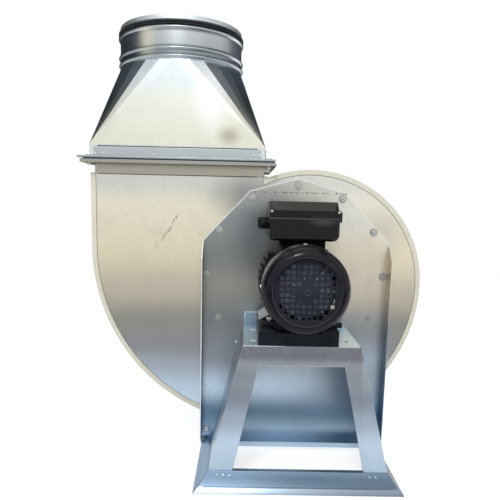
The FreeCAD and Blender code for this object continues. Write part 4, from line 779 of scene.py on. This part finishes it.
def makeDetails(look):
    rivets = bmesh.new()
    for x, z in look["flangeRivets"] + look["neckRivets"]:
        addDome(rivets, (x, look["rivetFace"], z), frontwards, *look["rivetSize"])
    placePiece("flangeRivets", rivets, "zinc")
    screws = bmesh.new()
    for x, z in look["plateScrews"]:
        addDome(screws, (x, plateFace, z), frontwards, *look["screwSize"])
    placePiece("plateScrew", screws, "zinc")
    welds = bmesh.new()
    (railFront, railHeight), (run, fall) = look["railTop"], look["railFall"]
    slope = Vector((0, -fall, run)).normalized()
    for x, z in look["baseWelds"]:
        addDome(welds, (x, railFront - (railHeight - z) * run / fall, z), slope, *look["weldSize"])
    placePiece("spotWelds", welds, "plateSheet")
    stitches = bmesh.new()
    start, end, z, count = look["stitches"]
    width, height = look["stitchSize"]
    random.seed(3)
    for number in range(count):
        x = start + (end - start) * number / (count - 1)
        reach = width * random.uniform(*look["stitchSpread"])
        addDome(stitches, (x, plateFace, z), frontwards, reach, height)
    placePiece("stitchMarks", stitches, "laminations")


def islandMiddles(node):    # middle of each loose piece of a node, millimetres
    form = weldedCopy(node)
    waiting = set(form.verts)
    middles = []
    for start in form.verts:
        if start not in waiting:
            continue
        waiting.remove(start)
        group = [start]
        for vertex in group:
            for edge in vertex.link_edges:
                other = edge.other_vert(vertex)
                if other in waiting:
                    waiting.remove(other)
                    group.append(other)
        low = [min(vertex.co[axis] for vertex in group) for axis in range(3)]
        high = [max(vertex.co[axis] for vertex in group) for axis in range(3)]
        middles.append([(a + b) / 2 / mm for a, b in zip(low, high)])
    form.free()
    return middles


boltLook = {
    "washerShadeRing": ((9.0, 0.0), (9.8, 0.0), (9.6, 0.3), (9.0, 0.3)),    # painted shade ring round the washer
    "headShadeRing": ((5.7, 0.0), (6.6, 0.0), (6.4, 1.9), (5.7, 1.9)),    # painted shade ring round the bolt's head
    # dark dot on each bolt's head: painted shade of a recess
    "recess": (1.7, 0.25),
    "jointWasher": ((3.0, 0.0), (8.6, 0.0), (8.2, 0.9), (3.0, 1.0)),
    # painted shade ring round each joint washer
    "jointShadeRing": ((8.4, -0.1), (9.5, -0.1), (9.3, 0.3), (8.4, 0.3)),
    "steps": (40, 36),
}


def addRings(name, node, outlines, steps, finish):    # rings on the plate, round each piece of the node
    form = bmesh.new()
    for x, y, z in islandMiddles(node):
        for outline in outlines:
            addTurned(form, outline, Vector((x, plateFace, z)), frontwards, steps)
    placePiece(name, form, finish)


def makeBoltRings(look):
    many, few = look["steps"]
    soft = (look["washerShadeRing"], look["headShadeRing"])
    addRings("boltShadeRings", "support_plate_washers", soft, many, "paintedShade")
    addRings("jointWashers", "frame_joint_bolts", (look["jointWasher"],), few, "dullZinc")
    addRings("jointShadeRings", "frame_joint_bolts", (look["jointShadeRing"],), few, "paintedShade")
    form = bmesh.new()
    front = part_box("support_plate_bolts")[0][1] / mm
    for x, y, z in islandMiddles("support_plate_bolts"):
        addDome(form, (x, front, z), frontwards, *look["recess"])
    placePiece("headRecessShade", form, "paintedShade")


ribbonLift = 0.12 * mm    # clear of the sheet below


def addRibbon(form, edge, wall, width):    # a flat strip beside the edge, before the wall or behind it
    aside = wall.normal * width * mm
    lift = Vector((0, -ribbonLift, 0))
    first, second = (point.co + lift for point in edge.verts)
    form.faces.new([form.verts.new(point) for point in (first, second, second + aside, first + aside)])


# thin dark lines where one sheet lies on another: painted shade in the corner
jointLook = {
    "width": 1.1,    # of the painted shade along the seam
    "railFold": ((-208.0, -401.3, 12.0), (208.0, -401.3, 12.0), (206.0, -400.7, 12.8),
                 (-206.0, -400.7, 12.8)),    # painted shade in the fold of the front rail's lower lip
    # strips of painted shade along the flanges' edges
    "flangeSpan": (-487.0, -101.0),
    "flangeFront": casingFace - 0.3,
    "flangeGaps": ((684.9, 686.6), (750.3, 752.9)),
}


def makeJointLines(look):
    form = bmesh.new()
    rim = weldedCopy("drive_seam_rim")
    rim.normal_update()
    foot = casingFace * mm
    for edge in rim.edges:
        if all(abs(point.co.y - foot) < flush for point in edge.verts):
            walls = [face for face in edge.link_faces if abs(face.normal.y) < 0.1
                     and face.calc_center_median().y < foot]
            if len(walls) == 1:
                addRibbon(form, edge, walls[0], look["width"])
    rim.free()
    addFace(form, look["railFold"])
    placePiece("jointLines", form, "jointShade")
    form = bmesh.new()
    left, right = look["flangeSpan"]
    y = look["flangeFront"]
    for low, high in look["flangeGaps"]:
        addFace(form, ((left, y, low), (right, y, low), (right, y, high), (left, y, high)))
    placePiece("flangeLines", form, "paintedShade")


# painted highlights along the carrier plate's cut edges
plateEdges = {"width": 2.0, "shortest": 60.0, "lowest": 330.0, "flangeSide": -200.0}


def makePlateEdges(look):
    plate = weldedCopy("support_plate")
    plate.normal_update()
    form = bmesh.new()
    front = plateFace * mm
    for edge in plate.edges:
        inFront = all(abs(point.co.y - front) <= flush for point in edge.verts)
        high = max(point.co.z for point in edge.verts) >= look["lowest"] * mm
        walls = [face for face in edge.link_faces if abs(face.normal.y) < 0.1]
        if inFront and high and edge.calc_length() >= look["shortest"] * mm and len(walls) == 1:
            addRibbon(form, edge, walls[0], -look["width"])
    for face in plate.faces:    # painted highlight on the front edge of the left side flange
        middle = face.calc_center_median()
        if middle.y < front - 2 * mm and middle.x < look["flangeSide"] * mm and face.normal.y < -0.02:
            form.faces.new([form.verts.new(point.co + face.normal * ribbonLift) for point in face.verts])
    plate.free()
    placePiece("plateEdges", form, "edgeHighlight")


scuffLook = {
    "start": (-347.0, 503.0),
    "end": (-292.0, 590.0),
    "count": 46,
    "spread": 5.0,
    "face": casingFace - 0.1,
    "halfWidth": (0.25, 0.7),
    "halfLength": (2.0, 6.0),
}


def makeScuffs(look):    # a rubbed streak of short dark scratches, wider and denser at its start
    random.seed(7)
    form = bmesh.new()
    start, end = Vector(look["start"]), Vector(look["end"])
    along = (end - start).normalized()
    for number in range(look["count"]):
        part = random.random() ** 0.7
        away = Vector((random.gauss(0, 1), random.gauss(0, 1))) * look["spread"]
        middle = start.lerp(end, part) + away * (1.25 - part)
        turn = math.radians(random.gauss(0, 14))
        way = Vector((along.x * math.cos(turn) - along.y * math.sin(turn),
                      along.x * math.sin(turn) + along.y * math.cos(turn)))
        side = Vector((-way.y, way.x)) * random.uniform(*look["halfWidth"])
        way = way * random.uniform(*look["halfLength"])
        points = (middle - way, middle + side, middle + way, middle - side)
        addFace(form, [(x, look["face"], z) for x, z in points])
    placePiece("scuffStreak", form, "rubbedMark")


slotLook = {
    "ends": [(-111.0, -95.5), (78.5, 99.0)],
    "rows": (-233.5, -333.5),
    "half": 6.2,
    "section": ((323.05, 0.0), (323.7, 0.6), (323.9, 1.6)),    # height and inset; platform at 323
}


def makeSlotHighlights(look):    # raised edges of the platform's slots, beside the raiser, bright with a painted highlight
    form = bmesh.new()
    for left, right in look["ends"]:
        for y in look["rows"]:
            edges = (left, right, y - look["half"], y + look["half"])
            rings = []
            for z, inset in look["section"]:
                rings.append([(x, a, z) for x, a in insetOutline(edges, inset, [(2.6, 2.6)] * 4)])
            joinRings(form, rings)
    placePiece("slotEdges", form, "brightZincAndHighlight")


makeDetails(detailLook)
makeBoltRings(boltLook)
makeJointLines(jointLook)
makePlateEdges(plateEdges)
makeScuffs(scuffLook)
makeSlotHighlights(slotLook)
print("small fixings made")


# sheet tab at the motor's left foot, a cast lug and two screw heads on the motor's far end
motorDetailLook = {
    "tab": [(-94.5, 373.7), (-96.6, 390.3), (-83.2, 401.7), (-70.9, 386.8)],
    "tabPlace": (-346.5, -345.0),
    "strap": [(-94.5, 373.7), (-70.9, 386.8), (-70.9, 385.3), (-94.5, 372.2)],    # from the tab to the foot
    "strapPlace": (-346.5, -315.0),
    "lug": (-77.5, -60.0, 504.0, 518.5),
    "lugSection": ((-337.0, 3.4), (-339.4, 3.4), (-340.0, 2.6), (-340.0, 0.8), (-339.2, 0.0),
                   (-318.0, 0.0)),    # place along the shaft, and inset
    "heads": [(47.6, 525.0), (64.3, 511.5)],
    "headSection": ((-346.0, 3.6), (-345.4, 4.2), (-341.0, 4.2)),    # place along the shaft, and radius
}


def makeMotorDetails(look):
    form = bmesh.new()
    for outline, places in ((look["tab"], look["tabPlace"]), (look["strap"], look["strapPlace"])):
        joinRings(form, [[(x, y, z) for x, z in outline] for y in places])
    placePiece("footTab", form, "zinc")
    form = bmesh.new()
    joinRings(form, [[(x, y, z) for x, z in insetOutline(look["lug"], inset, [(1.5, 1.5)] * 4)]
                     for y, inset in look["lugSection"]])
    placePiece("castLug", form, "castEnamel")
    form = bmesh.new()
    turns = [math.radians(60 * step) for step in range(6)]
    for x, z in look["heads"]:
        joinRings(form, [[(x + reach * math.cos(turn), y, z + reach * math.sin(turn)) for turn in turns]
                         for y, reach in look["headSection"]])
    placePiece("shieldScrews", form, "castEnamel")


# rounded lines on the fan cowl, partly the press's lines, partly added to carry painted highlights in their
# pale finishes: place along the shaft, radius, wire and finish
cowlLines = {
    "bossRing": (-428.0, 6.0, 0.9, "highlightLip"),
    "ridgeLine": (-428.15, 70.6, 0.8, "highlightLip"),
    "frontBead": (-391.0, 91.2, 0.9, "cowlBead"),
    "middleBead": (-379.0, 91.2, 0.9, "cowlBead"),
    "rimBead": (-358.0, 91.2, 1.1, "cowlBead"),
}


def makeCowlLines(lines):
    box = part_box("motor_shaft")
    height = (box[0][2] + box[1][2]) / 2 / mm
    turns = [step * math.pi / 4 for step in range(8)]
    for name, (y, radius, wire, finish) in lines.items():
        outline = [(radius + wire * math.cos(turn), wire * math.sin(turn)) for turn in turns]
        placePiece(name, turnedForm(outline, Vector((0, y, height)), Vector((0, 1, 0)), 96), finish)


# black sheet behind the raiser's front bar: painted shade under the motor
raiserShadeSheet = {"edges": (-60.0, 42.0, 323.5, 366.0), "faces": (-352.6, -351.6)}


def makeRaiserShadeSheet(look):
    form = bmesh.new()
    outline = insetOutline(look["edges"], 0, [(3, 3)] * 4)
    joinRings(form, [[(x, y, z) for x, z in outline] for y in look["faces"]])
    placePiece("raiserShadeSheet", form, "raiserEnamel")


makeMotorDetails(motorDetailLook)
makeCowlLines(cowlLines)
makeRaiserShadeSheet(raiserShadeSheet)
print("motor details made")


# studio: pale floor, soft lamps, and dark cloths that only the metal reflects, in metres
studio = {
    "floor": ((-3.0, -3.0, -0.001), (3.0, -3.0, -0.001), (3.0, 3.0, -0.001), (-3.0, 3.0, -0.001)),
    "floorLevel": 0.74,    # own light of the floor, for the camera and for reflections
    "cloths": {
        "floorCloth": ((-3.0, -2.6, 0.002), (3.0, -2.6, 0.002), (3.0, -1.05, 0.002), (-3.0, -1.05, 0.002)),
        "leftCloth": ((-2.8, 1.6, 0.75), (-0.85, 1.6, 0.75), (-0.85, 1.6, 3.6), (-2.8, 1.6, 3.6)),
        "rightCloth": ((0.05, 1.6, 0.75), (2.8, 1.6, 0.75), (2.8, 1.6, 3.6), (0.05, 1.6, 3.6)),
        "highRightCloth": ((1.35, -1.05, 2.2), (1.35, 1.6, 2.2), (1.35, 1.6, 4.4), (1.35, -1.05, 4.4)),
        "nearRightCloth": ((1.35, 0.25, 0.6), (1.35, 1.6, 0.6), (1.35, 1.6, 2.2), (1.35, 0.25, 2.2)),
        "nearLeftCloth": ((-1.6, -0.5, 0.4), (-1.6, 1.6, 0.4), (-1.6, 1.6, 3.0), (-1.6, -0.5, 3.0)),
    },
    "lamps": {
        "keyLamp": {"place": (-0.42, -1.9, 2.4), "size": 0.4, "power": 23},
        "fillLamp": {"place": (1.1, -2.3, 1.0), "size": 0.3, "power": 2},
    },
    "aim": Vector((-0.1, 0, 0.5)),
    "worldLevel": 0.75,
}


def addStage(name, corners, material):
    sheet = bmesh.new()
    sheet.faces.new([sheet.verts.new(corner) for corner in corners])
    mesh = bpy.data.meshes.new(name)
    sheet.to_mesh(mesh)
    sheet.free()
    mesh.materials.append(material)
    thing = bpy.data.objects.new(name, mesh)
    bpy.context.scene.collection.objects.link(thing)
    return thing


def seenOrMirrored(tree):    # the kinds of ray, and 1 for the camera's and for reflections
    path = addNode(tree, "ShaderNodeLightPath").outputs
    return path, reckon(tree, "MAXIMUM", path["Is Camera Ray"], path["Is Glossy Ray"])


def floorMaterial():
    material, tree, shader = startMaterial("paleStudioFloor", 0.8, 0.0)[:3]
    feed(tree, shader["Base Color"], "#C8CACC")
    feed(tree, shader["Emission Color"], "#FFFFFF")
    seen = seenOrMirrored(tree)[1]
    feed(tree, shader["Emission Strength"], reckon(tree, "MULTIPLY", seen, studio["floorLevel"]))
    return material


def darkCloth():
    material, tree, shader = startMaterial("darkStudioCloth", 0.9, 0.0)[:3]
    feed(tree, shader["Base Color"], "#2F3944")
    feed(tree, shader["Specular IOR Level"], 0.1)
    return material


def addLamp(name, look, aim):
    data = bpy.data.lights.new(name, "AREA")
    data.size = look["size"]
    data.energy = look["power"]
    lamp = bpy.data.objects.new(name, data)
    lamp.location = look["place"]
    lamp.rotation_euler = (aim - Vector(look["place"])).to_track_quat("-Z", "Y").to_euler()
    lamp.visible_camera = False
    bpy.context.scene.collection.objects.link(lamp)


def lightWorld(level):    # white to look at, softer as a light
    world = bpy.data.worlds.new("softWorld")
    bpy.context.scene.world = world
    world.use_nodes = True
    tree = world.node_tree
    tree.nodes.clear()
    path, seen = seenOrMirrored(tree)
    every = reckon(tree, "MAXIMUM", seen, path["Is Transmission Ray"])
    plain = addNode(tree, "ShaderNodeBackground", {"Color": "#FFFFFF", "Strength": level}).outputs[0]
    backdrop = addNode(tree, "ShaderNodeBackground", {"Color": "#FFFFFF", "Strength": 1.0}).outputs[0]
    both = addNode(tree, "ShaderNodeMixShader", {0: every, 1: plain, 2: backdrop}).outputs[0]
    addNode(tree, "ShaderNodeOutputWorld", {0: both})


addStage("floor", studio["floor"], floorMaterial())
cloth = darkCloth()
for name, corners in studio["cloths"].items():
    hung = addStage(name, corners, cloth)
    hung.visible_camera = False
    hung.visible_diffuse = False
    hung.visible_shadow = False
for name, lampLook in studio["lamps"].items():
    addLamp(name, lampLook, studio["aim"])
lightWorld(studio["worldLevel"])
bpy.context.scene.view_settings.view_transform = "Standard"
print("studio lit")
